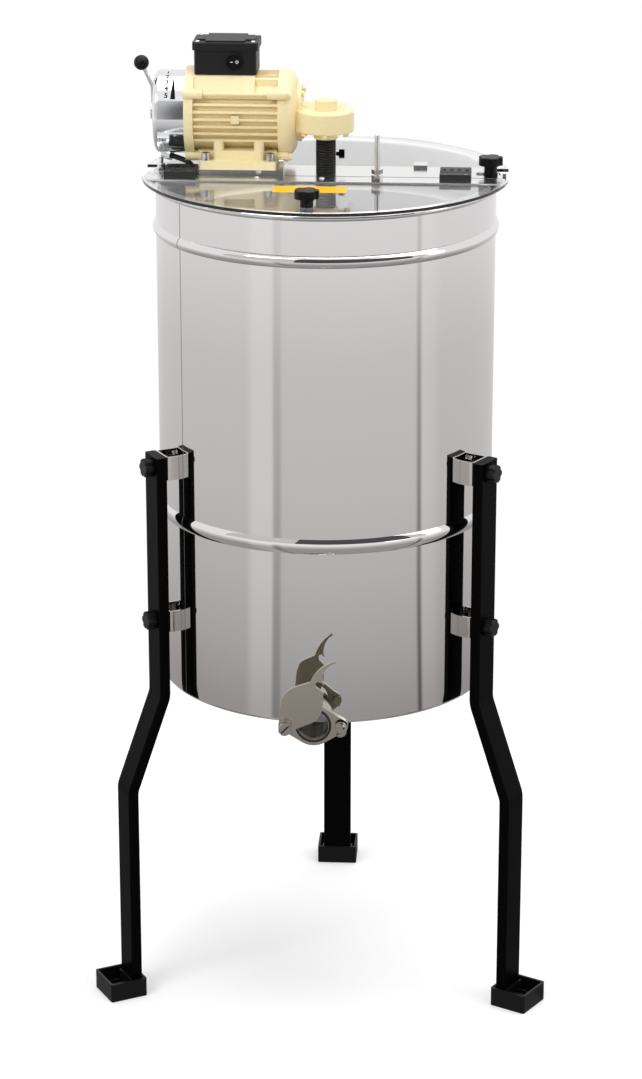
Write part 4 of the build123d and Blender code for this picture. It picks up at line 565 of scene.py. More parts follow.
# Zinc plated steel: bright but not sharp, with a faint crystalline mottle.
MOTTLE = 0.0025
zinc_steel, tree = new_material("zinc_plated_steel")
place = add_node(tree, "ShaderNodeTexCoord").outputs
mottle = add_node(
    tree, "ShaderNodeTexNoise", inputs={"Vector": place["Object"], "Scale": 1 / MOTTLE, "Detail": 3.0}
)
rough = add_node(
    tree,
    "ShaderNodeMapRange",
    inputs={"Value": mottle.outputs["Fac"], "To Min": 0.15, "To Max": 0.3},
)
tint = add_node(
    tree,
    "ShaderNodeValToRGB",
    inputs={"Fac": mottle.outputs["Fac"]},
    stops=((0.3, "#BDBEBF"), (0.7, "#D6D6D6")),
)
steel = add_node(
    tree,
    "ShaderNodeBsdfPrincipled",
    inputs={"Base Color": tint.outputs["Color"], "Metallic": 1.0, "Roughness": rough.outputs["Result"]},
)
add_node(tree, "ShaderNodeOutputMaterial", inputs={"Surface": steel.outputs["BSDF"]})
dress(zinc_steel, "leg_bolts")


# Honey gate: body, plate and screws cast and turned in stainless steel and polished, with a black
# rubber ring let into the face of the flange.

# Polished stainless casting: a warm grey, soft mirror with the last traces of the casting's skin. Faces
# that look at the drum are left as cast, brownish and dull.
CAST_SKIN = 0.006
BACK_FACING = (0.3, 0.6)
cast_steel, tree = new_material("polished_cast_stainless")
place = add_node(tree, "ShaderNodeTexCoord").outputs
skin = add_node(
    tree, "ShaderNodeTexNoise", inputs={"Vector": place["Object"], "Scale": 1 / CAST_SKIN, "Detail": 3.0}
)
rough = add_node(
    tree,
    "ShaderNodeMapRange",
    inputs={"Value": skin.outputs["Fac"], "To Min": 0.10, "To Max": 0.16},
)
facing = add_node(tree, "ShaderNodeSeparateXYZ", inputs={0: place["Normal"]})
behind = add_node(
    tree,
    "ShaderNodeMapRange",
    inputs={"Value": facing.outputs["Y"], "From Min": BACK_FACING[0], "From Max": BACK_FACING[1]},
)
finish = add_node(
    tree,
    "ShaderNodeMapRange",
    inputs={"Value": behind.outputs["Result"], "To Min": rough.outputs["Result"], "To Max": 0.5},
)
metal = add_node(
    tree,
    "ShaderNodeMapRange",
    inputs={"Value": behind.outputs["Result"], "To Min": 1.0, "To Max": 0.25},
)
tint = add_node(
    tree,
    "ShaderNodeValToRGB",
    inputs={"Fac": behind.outputs["Result"]},
    stops=((0.0, "#BDB6AD"), (1.0, "#8A7F6C")),
)
steel = add_node(
    tree,
    "ShaderNodeBsdfPrincipled",
    inputs={
        "Base Color": tint.outputs["Color"],
        "Metallic": metal.outputs["Result"],
        "Roughness": finish.outputs["Result"],
    },
)
add_node(tree, "ShaderNodeOutputMaterial", inputs={"Surface": steel.outputs["BSDF"]})
dress(cast_steel, "gate_body", "gate_plate", "gate_clamp_stud")

# Turned stainless: lathe lines, drawn coarser than they are so that they show, and painted shade that
# keeps the screwdriver slots and other hollows dark.
LATHE = 0.0007
SLOT_REACH = 0.003
turned_steel, tree = new_material("turned_stainless")
place = add_node(tree, "ShaderNodeTexCoord").outputs
lathe = add_node(
    tree, "ShaderNodeTexNoise", inputs={"Vector": place["Object"], "Scale": 1 / LATHE, "Detail": 1.0}
)
rough = add_node(
    tree,
    "ShaderNodeMapRange",
    inputs={"Value": lathe.outputs["Fac"], "To Min": 0.12, "To Max": 0.22},
)
# Painted shade: ambient occlusion darkens the colour in the slots and hollows.
painted_slot_shade = add_node(tree, "ShaderNodeAmbientOcclusion", {"samples": 8}, {"Distance": SLOT_REACH})
tint = add_node(
    tree,
    "ShaderNodeValToRGB",
    inputs={"Fac": painted_slot_shade.outputs["AO"]},
    stops=((0.42, "#1E1B17"), (0.78, "#B4B0AA")),
)
steel = add_node(
    tree,
    "ShaderNodeBsdfPrincipled",
    inputs={"Base Color": tint.outputs["Color"], "Metallic": 1.0, "Roughness": rough.outputs["Result"]},
)
add_node(tree, "ShaderNodeOutputMaterial", inputs={"Surface": steel.outputs["BSDF"]})
dress(turned_steel, "gate_pivot_screw", "gate_clamp_nut")


def clouded_finish(name, cloud, detail, stops, gloss):
    """Finish whose colour wanders in clouds of the given size, with one even gloss."""
    material, tree = new_material(name)
    place = add_node(tree, "ShaderNodeTexCoord").outputs
    clouds = add_node(
        tree,
        "ShaderNodeTexNoise",
        inputs={"Vector": place["Object"], "Scale": 1 / cloud, "Detail": detail},
    )
    tint = add_node(tree, "ShaderNodeValToRGB", inputs={"Fac": clouds.outputs["Fac"]}, stops=stops)
    coat = add_node(
        tree, "ShaderNodeBsdfPrincipled", inputs={"Base Color": tint.outputs["Color"], **gloss}
    )
    add_node(tree, "ShaderNodeOutputMaterial", inputs={"Surface": coat.outputs["BSDF"]})
    return material


# Drawn stainless tube, left as welded: browned by the heat and duller than the gate.
HEAT_CLOUD = 0.02
drawn_tube = clouded_finish(
    "drawn_stainless_tube",
    HEAT_CLOUD,
    detail=3.0,
    stops=((0.3, "#5E564B"), (0.7, "#7C7467")),
    gloss={"Metallic": 1.0, "Roughness": 0.22},
)
dress(drawn_tube, "outlet_pipe")

# Black rubber: dull, with a faint dusty bloom.
BLOOM = 0.006
black_rubber = clouded_finish(
    "black_nitrile_rubber",
    BLOOM,
    detail=3.0,
    stops=((0.35, "#0B0B0B"), (0.75, "#151514")),
    gloss={"Roughness": 0.5, "Specular IOR Level": 0.4},
)
dress(black_rubber, "gate_seal")


# Basket: a stainless wheel of square bar at each end of a shaft, joined by guide rods that hold the
# frames, all welded and left satin. It turns on a ball in the seat on the drum's floor.

# Satin stainless: brushed lengthways, so its reflection spreads across the lines, which are drawn coarser
# than they are so that they show. Undersides keep the paler mill finish.
BRUSH = 0.0009
BRUSH_STRETCH = (0.06, 1.0, 1.0)
UNDERSIDE = (-0.6, -0.9)
satin_steel, tree = new_material("satin_stainless")
place = add_node(tree, "ShaderNodeTexCoord").outputs
along = add_node(
    tree, "ShaderNodeMapping", inputs={"Vector": place["Object"], "Scale": BRUSH_STRETCH}
)
brush = add_node(
    tree, "ShaderNodeTexNoise", inputs={"Vector": along.outputs[0], "Scale": 1 / BRUSH, "Detail": 2.0}
)
rough = add_node(
    tree,
    "ShaderNodeMapRange",
    inputs={"Value": brush.outputs["Fac"], "To Min": 0.12, "To Max": 0.26},
)
bump = add_node(
    tree,
    "ShaderNodeBump",
    inputs={"Height": brush.outputs["Fac"], "Strength": 0.06, "Distance": 0.0002},
)
tilt = add_node(tree, "ShaderNodeSeparateXYZ", inputs={0: place["Normal"]})
under = add_node(
    tree,
    "ShaderNodeMapRange",
    inputs={"Value": tilt.outputs["Z"], "From Min": UNDERSIDE[0], "From Max": UNDERSIDE[1]},
)
finish = add_node(
    tree,
    "ShaderNodeMapRange",
    inputs={"Value": under.outputs["Result"], "To Min": rough.outputs["Result"], "To Max": 0.45},
)
metal = add_node(
    tree,
    "ShaderNodeMapRange",
    inputs={"Value": under.outputs["Result"], "To Min": 1.0, "To Max": 0.35},
)
steel = add_node(
    tree,
    "ShaderNodeBsdfPrincipled",
    inputs={
        "Base Color": linear("#E6E5E4"),
        "Metallic": metal.outputs["Result"],
        "Roughness": finish.outputs["Result"],
        "Normal": bump.outputs["Normal"],
    },
)
add_node(tree, "ShaderNodeOutputMaterial", inputs={"Surface": steel.outputs["BSDF"]})
dress(satin_steel, "basket_shaft", "basket_lower_wheel", "basket_upper_wheel", "basket_guides")
dress(satin_steel, "shaft_coupling", "output_shaft")
dress(zinc_steel, "bearing_seat", "bearing_ball")


# Crossbar: a channel folded from stainless sheet across the rim, with a pad on one end and a clamp knob
# on the other. The motor's plate is bolted on it.
dress(satin_steel, "crossbar", "bar_lugs", "bar_end_bolt", "motor_plate")
dress(moulded_black, "bar_clamp_knob")
dress(black_rubber, "bar_end_pad")


# Lids: two half discs of 4 mm acrylic sheet with sawn edges. The front one hangs on moulded hinges from
# the crossbar, and has a stainless strip screwed along its straight edge, a rod that stops it and a knob.

# Clear cast acrylic: it mirrors the drive at a low angle; its sawn edge has a painted dark plum shade
# line.
EDGE_SLOPE = (0.5, 0.6)
EDGE_LINE = 0.0011
lid_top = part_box("front_lid_panel")[1][2]
clear_acrylic, tree = new_material("clear_cast_acrylic")
place = add_node(tree, "ShaderNodeTexCoord").outputs
tilt = add_node(tree, "ShaderNodeSeparateXYZ", inputs={0: place["Normal"]})
flat = add_node(tree, "ShaderNodeMath", {"operation": "ABSOLUTE"}, {0: tilt.outputs["Z"]})
spot = add_node(tree, "ShaderNodeSeparateXYZ", inputs={0: place["Object"]})
depth = add_node(
    tree,
    "ShaderNodeMapRange",
    inputs={"Value": spot.outputs["Z"], "From Min": lid_top - 2 * EDGE_LINE, "From Max": lid_top},
)
# Painted shade: the sawn edge darkens to plum towards the top face.
painted_edge_shade = add_node(
    tree,
    "ShaderNodeValToRGB",
    inputs={"Fac": depth.outputs["Result"]},
    stops=((0.0, "#C9C6C9"), (0.35, "#8C7F88"), (0.55, "#3A1C30"), (1.0, "#3A1C30")),
)
edge = add_node(
    tree,
    "ShaderNodeMapRange",
    inputs={"Value": flat.outputs[0], "From Min": EDGE_SLOPE[0], "From Max": EDGE_SLOPE[1]},
)
tint = add_node(
    tree,
    "ShaderNodeMixRGB",
    inputs={
        "Fac": edge.outputs["Result"],
        "Color1": painted_edge_shade.outputs["Color"],
        "Color2": linear("#F2F3F3"),
    },
)
acrylic = add_node(
    tree,
    "ShaderNodeBsdfPrincipled",
    inputs={
        "Base Color": tint.outputs["Color"],
        "Roughness": 0.01,
        "IOR": 1.49,
        "Transmission Weight": 1.0,
    },
)
add_node(tree, "ShaderNodeOutputMaterial", inputs={"Surface": acrylic.outputs["BSDF"]})
dress(clear_acrylic, "front_lid_panel", "rear_lid")
for name in ("front_lid_panel", "rear_lid"):
    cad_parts[name].visible_shadow = False
dress(satin_steel, "lid_edge_strip", "lid_stop_rod", "rear_lid_clip")
dress(moulded_black, "lid_knob")
dress(zinc_steel, "hinge_pins")

# Glass filled nylon: charcoal grey and dry. Its short fibres are drawn coarser than they are, so that
# they just show.
FIBRE = 0.0013
nylon, tree = new_material("glass_filled_nylon")
place = add_node(tree, "ShaderNodeTexCoord").outputs
fibre = add_node(
    tree, "ShaderNodeTexNoise", inputs={"Vector": place["Object"], "Scale": 1 / FIBRE, "Detail": 3.0}
)
tint = add_node(
    tree,
    "ShaderNodeValToRGB",
    inputs={"Fac": fibre.outputs["Fac"]},
    stops=((0.35, "#1B1B1C"), (0.75, "#2A2A2B")),
)
rough = add_node(
    tree,
    "ShaderNodeMapRange",
    inputs={"Value": fibre.outputs["Fac"], "To Min": 0.4, "To Max": 0.55},
)
resin = add_node(
    tree,
    "ShaderNodeBsdfPrincipled",
    inputs={
        "Base Color": tint.outputs["Color"],
        "Roughness": rough.outputs["Result"],
        "Specular IOR Level": 0.35,
    },
)
add_node(tree, "ShaderNodeOutputMaterial", inputs={"Surface": resin.outputs["BSDF"]})
dress(nylon, "hinge_bar_leaves", "hinge_lid_leaves")

# Screws: zinc plated, with pan heads and a cross recess, in the hinges, the edge strip and the box's lid.
# Each is turned as it came tight, and one tree makes them all.
screw_tree = bpy.data.node_groups.new("pan_head_screws", "GeometryNodeTree")
screw_tree.interface.new_socket("Spots", in_out="INPUT", socket_type="NodeSocketGeometry")
for size in ("Head Radius", "Head Height", "Recess Width", "Recess Depth"):
    screw_tree.interface.new_socket(size, in_out="INPUT", socket_type="NodeSocketFloat")
screw_tree.interface.new_socket("Seed", in_out="INPUT", socket_type="NodeSocketInt")
screw_tree.interface.new_socket("Finish", in_out="INPUT", socket_type="NodeSocketMaterial")
screw_tree.interface.new_socket("Heads", in_out="OUTPUT", socket_type="NodeSocketGeometry")
entry = add_node(screw_tree, "NodeGroupInput").outputs
HEAD_SINK = 0.0003
HEAD_SEGMENTS = 24
HEAD_RINGS = 16
BLOCK_SHARE = 4.0
RECESS_SHARE = 1.25
dome = add_node(
    screw_tree,
    "GeometryNodeMeshUVSphere",
    inputs={"Segments": HEAD_SEGMENTS, "Rings": HEAD_RINGS, "Radius": entry["Head Radius"]},
)
flatten = add_node(
    screw_tree,
    "ShaderNodeMath",
    {"operation": "DIVIDE"},
    {0: entry["Head Height"], 1: entry["Head Radius"]},
)
squat = add_node(screw_tree, "ShaderNodeCombineXYZ", inputs={0: 1.0, 1: 1.0, 2: flatten.outputs[0]})
low_dome = add_node(
    screw_tree,
    "GeometryNodeTransform",
    inputs={"Geometry": dome.outputs["Mesh"], "Scale": squat.outputs[0]},
)
slab_side = add_node(
    screw_tree, "ShaderNodeMath", {"operation": "MULTIPLY"}, {0: entry["Head Radius"], 1: BLOCK_SHARE}
)
slab_size = add_node(
    screw_tree,
    "ShaderNodeCombineXYZ",
    inputs={0: slab_side.outputs[0], 1: slab_side.outputs[0], 2: slab_side.outputs[0]},
)
slab = add_node(screw_tree, "GeometryNodeMeshCube", inputs={"Size": slab_size.outputs[0]})
slab_half = add_node(
    screw_tree,
    "ShaderNodeMath",
    {"operation": "MULTIPLY_ADD"},
    {0: slab_side.outputs[0], 1: 0.5, 2: -HEAD_SINK},
)
slab_lift = add_node(screw_tree, "ShaderNodeCombineXYZ", inputs={2: slab_half.outputs[0]})
upper = add_node(
    screw_tree,
    "GeometryNodeTransform",
    inputs={"Geometry": slab.outputs["Mesh"], "Translation": slab_lift.outputs[0]},
)
head = add_node(
    screw_tree,
    "GeometryNodeMeshBoolean",
    {"operation": "INTERSECT"},
    {"Mesh 2": low_dome.outputs["Geometry"]},
)
screw_tree.links.new(upper.outputs["Geometry"], head.inputs["Mesh 2"])
recess_long = add_node(
    screw_tree, "ShaderNodeMath", {"operation": "MULTIPLY"}, {0: entry["Head Radius"], 1: RECESS_SHARE}
)
recess_deep = add_node(
    screw_tree, "ShaderNodeMath", {"operation": "MULTIPLY"}, {0: entry["Recess Depth"], 1: 2.0}
)
recess_place = add_node(screw_tree, "ShaderNodeCombineXYZ", inputs={2: entry["Head Height"]})
shaped = head.outputs["Mesh"]
for quarter in (0.0, math.pi / 2):
    recess_size = add_node(
        screw_tree,
        "ShaderNodeCombineXYZ",
        inputs={0: recess_long.outputs[0], 1: entry["Recess Width"], 2: recess_deep.outputs[0]},
    )
    blade = add_node(screw_tree, "GeometryNodeMeshCube", inputs={"Size": recess_size.outputs[0]})
    placed = add_node(
        screw_tree,
        "GeometryNodeTransform",
        inputs={
            "Geometry": blade.outputs["Mesh"],
            "Translation": recess_place.outputs[0],
            "Rotation": (0.0, 0.0, quarter),
        },
    )
    cut = add_node(
        screw_tree,
        "GeometryNodeMeshBoolean",
        {"operation": "DIFFERENCE"},
        {"Mesh 1": shaped, "Mesh 2": placed.outputs["Geometry"]},
    )
    shaped = cut.outputs["Mesh"]
chance = add_node(
    screw_tree, "FunctionNodeRandomValue", inputs={2: 0.0, 3: math.pi, "Seed": entry["Seed"]}
)
turned = add_node(screw_tree, "ShaderNodeCombineXYZ", inputs={2: chance.outputs[1]})
heads = add_node(
    screw_tree,
    "GeometryNodeInstanceOnPoints",
    inputs={"Points": entry["Spots"], "Instance": shaped, "Rotation": turned.outputs[0]},
)
real = add_node(
    screw_tree, "GeometryNodeRealizeInstances", inputs={"Geometry": heads.outputs["Instances"]}
)
dressed = add_node(
    screw_tree,
    "GeometryNodeSetMaterial",
    inputs={"Geometry": real.outputs["Geometry"], "Material": entry["Finish"]},
)
add_node(screw_tree, "NodeGroupOutput", inputs={"Heads": dressed.outputs["Geometry"]})


def grow(piece, tree, sizes):
    """Run a node tree on a piece with the given sizes, and keep the result as its plain mesh."""
    modifier = piece.modifiers.new(tree.name, "NODES")
    modifier.node_group = tree
    for item in tree.interface.items_tree:
        if item.in_out == "INPUT" and item.name in sizes:
            modifier[item.identifier] = sizes[item.name]
    made = piece.evaluated_get(bpy.context.evaluated_depsgraph_get())
    mesh = bpy.data.meshes.new_from_object(made)
    piece.modifiers.remove(modifier)
    piece.data = mesh


HEIGHT_SHARE = 0.62
RECESS_WIDTH_SHARE = 0.2
RECESS_DEPTH_SHARE = 0.3
SCREW_SEED = 7


def add_screws(name, spots, head_radius, body):
    """Pan head screws that stand on the given spots."""
    mesh = bpy.data.meshes.new(name)
    mesh.from_pydata(spots, [], [])
    piece = add_object(name, mesh)
    grow(
        piece,
        screw_tree,
        {
            "Head Radius": head_radius,
            "Head Height": head_radius * HEIGHT_SHARE,
            "Recess Width": head_radius * RECESS_WIDTH_SHARE,
            "Recess Depth": head_radius * RECESS_DEPTH_SHARE,
            "Seed": SCREW_SEED,
            "Finish": zinc_steel,
        },
    )
    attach(piece, body)


HINGE_HALF = 0.0205
HINGE_SCREW_STEP = 0.0135
HINGE_SCREW_ROW = 0.0062
HINGE_SEAT = 0.006
HINGE_SCREW_HEAD = 0.0033
low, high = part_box("hinge_lid_leaves")
spots = []
for middle in (low[0] + HINGE_HALF, high[0] - HINGE_HALF):
    for side in (-1, 1):
        spots.append((middle + side * HINGE_SCREW_STEP, low[1] + HINGE_SCREW_ROW, low[2] + HINGE_SEAT))
add_screws("hinge_screws", spots, HINGE_SCREW_HEAD, "front_lid")

STRIP_SCREWS_X = (-0.0876, -0.0026)
STRIP_SCREW_INSET = 0.0185
STRIP_SCREW_HEAD = 0.0038
low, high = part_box("lid_edge_strip")
spots = [(x, low[1] + STRIP_SCREW_INSET, high[2]) for x in STRIP_SCREWS_X]
add_screws("strip_screws", spots, STRIP_SCREW_HEAD, "front_lid")


# Lid tape: a plain strip of thin yellow vinyl, cut with rounded corners and stuck along the front lid
# behind the knob.
def prism(outline, place, low, high):
    """Closed prism on an outline of (u, v) points. place turns (u, v, w) into a point in the frame."""
    count = len(outline)
    vertices = [place(u, v, w) for w in (low, high) for u, v in outline]
    faces = [tuple(range(count)), tuple(range(count, 2 * count))]
    for i in range(count):
        follow = (i + 1) % count
        faces.append((i, follow, count + follow, count + i))
    return vertices, faces


# Yellow vinyl: an even warm yellow with a soft gloss and a faint leathery dimple.
DIMPLE = 0.0015
yellow_vinyl, tree = new_material("yellow_vinyl_tape")
place = add_node(tree, "ShaderNodeTexCoord").outputs
dimple = add_node(
    tree, "ShaderNodeTexNoise", inputs={"Vector": place["Object"], "Scale": 1 / DIMPLE, "Detail": 1.0}
)
bump = add_node(
    tree,
    "ShaderNodeBump",
    inputs={"Height": dimple.outputs["Fac"], "Strength": 0.05, "Distance": 0.0001},
)
vinyl = add_node(
    tree,
    "ShaderNodeBsdfPrincipled",
    inputs={"Base Color": linear("#F3BC18"), "Roughness": 0.4, "Normal": bump.outputs["Normal"]},
)
add_node(tree, "ShaderNodeOutputMaterial", inputs={"Surface": vinyl.outputs["BSDF"]})

TAPE_X = (-0.062, 0.034)
TAPE_Y = (-0.124, -0.086)
TAPE_CORNER = 0.003
TAPE_SHEET = 0.00015
TAPE_STEPS = 5
outline = []
for quarter, (x, y) in enumerate(
    (
        (TAPE_X[1] - TAPE_CORNER, TAPE_Y[1] - TAPE_CORNER),
        (TAPE_X[0] + TAPE_CORNER, TAPE_Y[1] - TAPE_CORNER),
        (TAPE_X[0] + TAPE_CORNER, TAPE_Y[0] + TAPE_CORNER),
        (TAPE_X[1] - TAPE_CORNER, TAPE_Y[0] + TAPE_CORNER),
    )
):
    for step in range(TAPE_STEPS + 1):
        turn = math.pi / 2 * (quarter + step / TAPE_STEPS)
        outline.append((x + TAPE_CORNER * math.cos(turn), y + TAPE_CORNER * math.sin(turn)))
vertices, faces = prism(outline, lambda u, v, w: (u, v, w), lid_top, lid_top + TAPE_SHEET)
add_piece("lid_tape", vertices, faces, yellow_vinyl, "front_lid")


# Drive: a finned motor with its end shields and a worm head, cast in aluminium and painted cream, bolted
# down with plated bolts. The rotor carries the worm, and a bronze wheel runs on it inside the head.

# Cream gloss enamel on castings: even and warm, with a slight orange peel over the sand cast skin.
CREAM_PEEL = 0.0035
cream_enamel, tree = new_material("cream_enamel_on_castings")
place = add_node(tree, "ShaderNodeTexCoord").outputs
peel = add_node(
    tree, "ShaderNodeTexNoise", inputs={"Vector": place["Object"], "Scale": 1 / CREAM_PEEL, "Detail": 2.0}
)
tint = add_node(
    tree,
    "ShaderNodeValToRGB",
    inputs={"Fac": peel.outputs["Fac"]},
    stops=((0.3, "#F0DFAE"), (0.7, "#F4E4B5")),
)
bump = add_node(
    tree,
    "ShaderNodeBump",
    inputs={"Height": peel.outputs["Fac"], "Strength": 0.05, "Distance": 0.0005},
)
enamel = add_node(
    tree,
    "ShaderNodeBsdfPrincipled",
    inputs={"Base Color": tint.outputs["Color"], "Roughness": 0.34, "Normal": bump.outputs["Normal"]},
)
add_node(tree, "ShaderNodeOutputMaterial", inputs={"Surface": enamel.outputs["BSDF"]})
dress(cream_enamel, "motor_housing", "variator_shield", "drive_bell", "case_bolts")
dress(cream_enamel, "gear_housing", "gear_cap")
dress(zinc_steel, "foot_bolts", "rotor", "motor_bearings")

# Cast bronze, turned and hobbed: a warm yellow brown with turning lines, drawn coarser than they are so
# that they show.
TURNING = 0.0008
bronze = lined_metal("machined_bronze", "#B58A4A", TURNING, detail=2.0, rough=(0.25, 0.4))
dress(bronze, "worm_wheel")


# Shaft sleeve: a moulded rubber bellows with thirteen ribs that covers the shaft between the worm head
# and the crossbar, closed by a clamp screw.
sleeve_tree = bpy.data.node_groups.new("ribbed_sleeve", "GeometryNodeTree")
sleeve_tree.interface.new_socket("Foot", in_out="INPUT", socket_type="NodeSocketGeometry")
for size in ("Length", "Core Radius", "Core Wall", "Rib Radius", "Rib Thickness"):
    sleeve_tree.interface.new_socket(size, in_out="INPUT", socket_type="NodeSocketFloat")
sleeve_tree.interface.new_socket("Ribs", in_out="INPUT", socket_type="NodeSocketInt")
sleeve_tree.interface.new_socket("Finish", in_out="INPUT", socket_type="NodeSocketMaterial")
sleeve_tree.interface.new_socket("Sleeve", in_out="OUTPUT", socket_type="NodeSocketGeometry")
entry = add_node(sleeve_tree, "NodeGroupInput").outputs
RING_POINTS = 64
RIB_POINTS = 14
rib_ring = add_node(
    sleeve_tree,
    "GeometryNodeCurvePrimitiveCircle",
    inputs={"Resolution": RING_POINTS, "Radius": entry["Rib Radius"]},
)
rib_profile = add_node(
    sleeve_tree,
    "GeometryNodeCurvePrimitiveCircle",
    inputs={"Resolution": RIB_POINTS, "Radius": entry["Rib Thickness"]},
)
rib = add_node(
    sleeve_tree,
    "GeometryNodeCurveToMesh",
    inputs={"Curve": rib_ring.outputs["Curve"], "Profile Curve": rib_profile.outputs["Curve"]},
)
rib_span = add_node(
    sleeve_tree,
    "ShaderNodeMath",
    {"operation": "MULTIPLY_ADD"},
    {0: entry["Rib Thickness"], 1: -2.0, 2: entry["Length"]},
)
rib_gaps = add_node(sleeve_tree, "ShaderNodeMath", {"operation": "SUBTRACT"}, {0: entry["Ribs"], 1: 1.0})
rib_pitch = add_node(
    sleeve_tree,
    "ShaderNodeMath",
    {"operation": "DIVIDE"},
    {0: rib_span.outputs[0], 1: rib_gaps.outputs[0]},
)
rib_start = add_node(sleeve_tree, "ShaderNodeCombineXYZ", inputs={2: entry["Rib Thickness"]})
rib_step = add_node(sleeve_tree, "ShaderNodeCombineXYZ", inputs={2: rib_pitch.outputs[0]})
rib_row = add_node(
    sleeve_tree,
    "GeometryNodeMeshLine",
    inputs={
        "Count": entry["Ribs"],
        "Start Location": rib_start.outputs[0],
        "Offset": rib_step.outputs[0],
    },
)
ribs = add_node(
    sleeve_tree,
    "GeometryNodeInstanceOnPoints",
    inputs={"Points": rib_row.outputs["Mesh"], "Instance": rib.outputs["Mesh"]},
)
core_ring = add_node(
    sleeve_tree,
    "GeometryNodeCurvePrimitiveCircle",
    inputs={"Resolution": RING_POINTS, "Radius": entry["Core Radius"]},
)
core_profile = add_node(
    sleeve_tree,
    "GeometryNodeCurvePrimitiveQuadrilateral",
    inputs={"Width": entry["Core Wall"], "Height": entry["Length"]},
)
core = add_node(
    sleeve_tree,
    "GeometryNodeCurveToMesh",
    inputs={"Curve": core_ring.outputs["Curve"], "Profile Curve": core_profile.outputs["Curve"]},
)
half_length = add_node(
    sleeve_tree, "ShaderNodeMath", {"operation": "MULTIPLY"}, {0: entry["Length"], 1: 0.5}
)
core_lift = add_node(sleeve_tree, "ShaderNodeCombineXYZ", inputs={2: half_length.outputs[0]})
core_up = add_node(
    sleeve_tree,
    "GeometryNodeTransform",
    inputs={"Geometry": core.outputs["Mesh"], "Translation": core_lift.outputs[0]},
)
joined = add_node(
    sleeve_tree, "GeometryNodeJoinGeometry", inputs={"Geometry": core_up.outputs["Geometry"]}
)
sleeve_tree.links.new(ribs.outputs["Instances"], joined.inputs["Geometry"])
placed = add_node(
    sleeve_tree,
    "GeometryNodeInstanceOnPoints",
    inputs={"Points": entry["Foot"], "Instance": joined.outputs["Geometry"]},
)
real = add_node(
    sleeve_tree, "GeometryNodeRealizeInstances", inputs={"Geometry": placed.outputs["Instances"]}
)
smooth = add_node(
    sleeve_tree, "GeometryNodeSetShadeSmooth", inputs={"Geometry": real.outputs["Geometry"]}
)
dressed = add_node(
    sleeve_tree,
    "GeometryNodeSetMaterial",
    inputs={"Geometry": smooth.outputs["Geometry"], "Material": entry["Finish"]},
)
add_node(sleeve_tree, "NodeGroupOutput", inputs={"Sleeve": dressed.outputs["Geometry"]})

SLEEVE_CORE = 0.01025
SLEEVE_WALL = 0.0025
RIB_RADIUS = 0.0119
RIB_THICKNESS = 0.0015
SLEEVE_RIBS = 13
low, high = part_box("shaft_sleeve")
foot = ((low[0] + high[0]) / 2, (low[1] + high[1]) / 2, low[2])
mesh = bpy.data.meshes.new("ribbed_shaft_sleeve")
mesh.from_pydata([foot], [], [])
sleeve = add_object("ribbed_shaft_sleeve", mesh)
grow(
    sleeve,
    sleeve_tree,
    {
        "Length": high[2] - low[2],
        "Core Radius": SLEEVE_CORE,
        "Core Wall": SLEEVE_WALL,
        "Rib Radius": RIB_RADIUS,
        "Rib Thickness": RIB_THICKNESS,
        "Ribs": SLEEVE_RIBS,
        "Finish": black_rubber,
    },
)
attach(sleeve, "stand")
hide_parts("shaft_sleeve")
dress(leg_black, "sleeve_screw")


# Terminal box: moulded in charcoal ABS with a screwed lid, bolted on the motor. A round rocker switch is
# clipped into its front, with the usual bar and ring printed on the rocker.

# Charcoal ABS: an even dark grey with a soft sheen over a spark eroded grain, drawn coarser than it is so
# that it shows.
BOX_GRAIN = 0.0012
charcoal_abs = moulded_plastic(
    "moulded_charcoal_abs", "#161617", BOX_GRAIN, rough=(0.4, 0.55), sheen=0.3, relief=0.12
)
dress(charcoal_abs, "terminal_box", "terminal_box_lid")
dress(moulded_black, "switch_bezel", "switch_rocker")

BOX_SCREW_INSET = 0.007
BOX_SCREW_SEAT = 0.002
BOX_SCREW_HEAD = 0.0032
low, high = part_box("terminal_box_lid")
spots = []
for x in (low[0] + BOX_SCREW_INSET, high[0] - BOX_SCREW_INSET):
    for y in (low[1] + BOX_SCREW_INSET, high[1] - BOX_SCREW_INSET):
        spots.append((x, y, high[2] - BOX_SCREW_SEAT))
add_screws("box_lid_screws", spots, BOX_SCREW_HEAD, "stand")

# White pad printing ink: a thin matt film with a little mottle where it thins out.
INK_MOTTLE = 0.001
white_ink = clouded_finish(
    "white_printing_ink",
    INK_MOTTLE,
    detail=2.0,
    stops=((0.3, "#D2D2D0"), (0.7, "#ECECEA")),
    gloss={"Roughness": 0.55},
)

ROCKER_TILT = math.radians(8.0)
ROCKER_FACE = 0.0025
INK_FILM = 0.00012
BAR_MARK = (-0.0036, 0.0017, 0.00045)
RING_MARK = (0.0034, 0.0021, 0.0013)
RING_STEPS = 28
low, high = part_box("switch_rocker")
pivot = Vector([(a + b) / 2 for a, b in zip(low, high)])
normal = Vector((math.sin(ROCKER_TILT), -math.cos(ROCKER_TILT), 0.0))
across = Vector((math.cos(ROCKER_TILT), math.sin(ROCKER_TILT), 0.0))


def on_rocker(u, v, w):
    """Point on the rocker's face: u to the right, v up, w out of the face."""
    return pivot + across * u + Vector((0.0, 0.0, v)) + normal * (ROCKER_FACE + w)


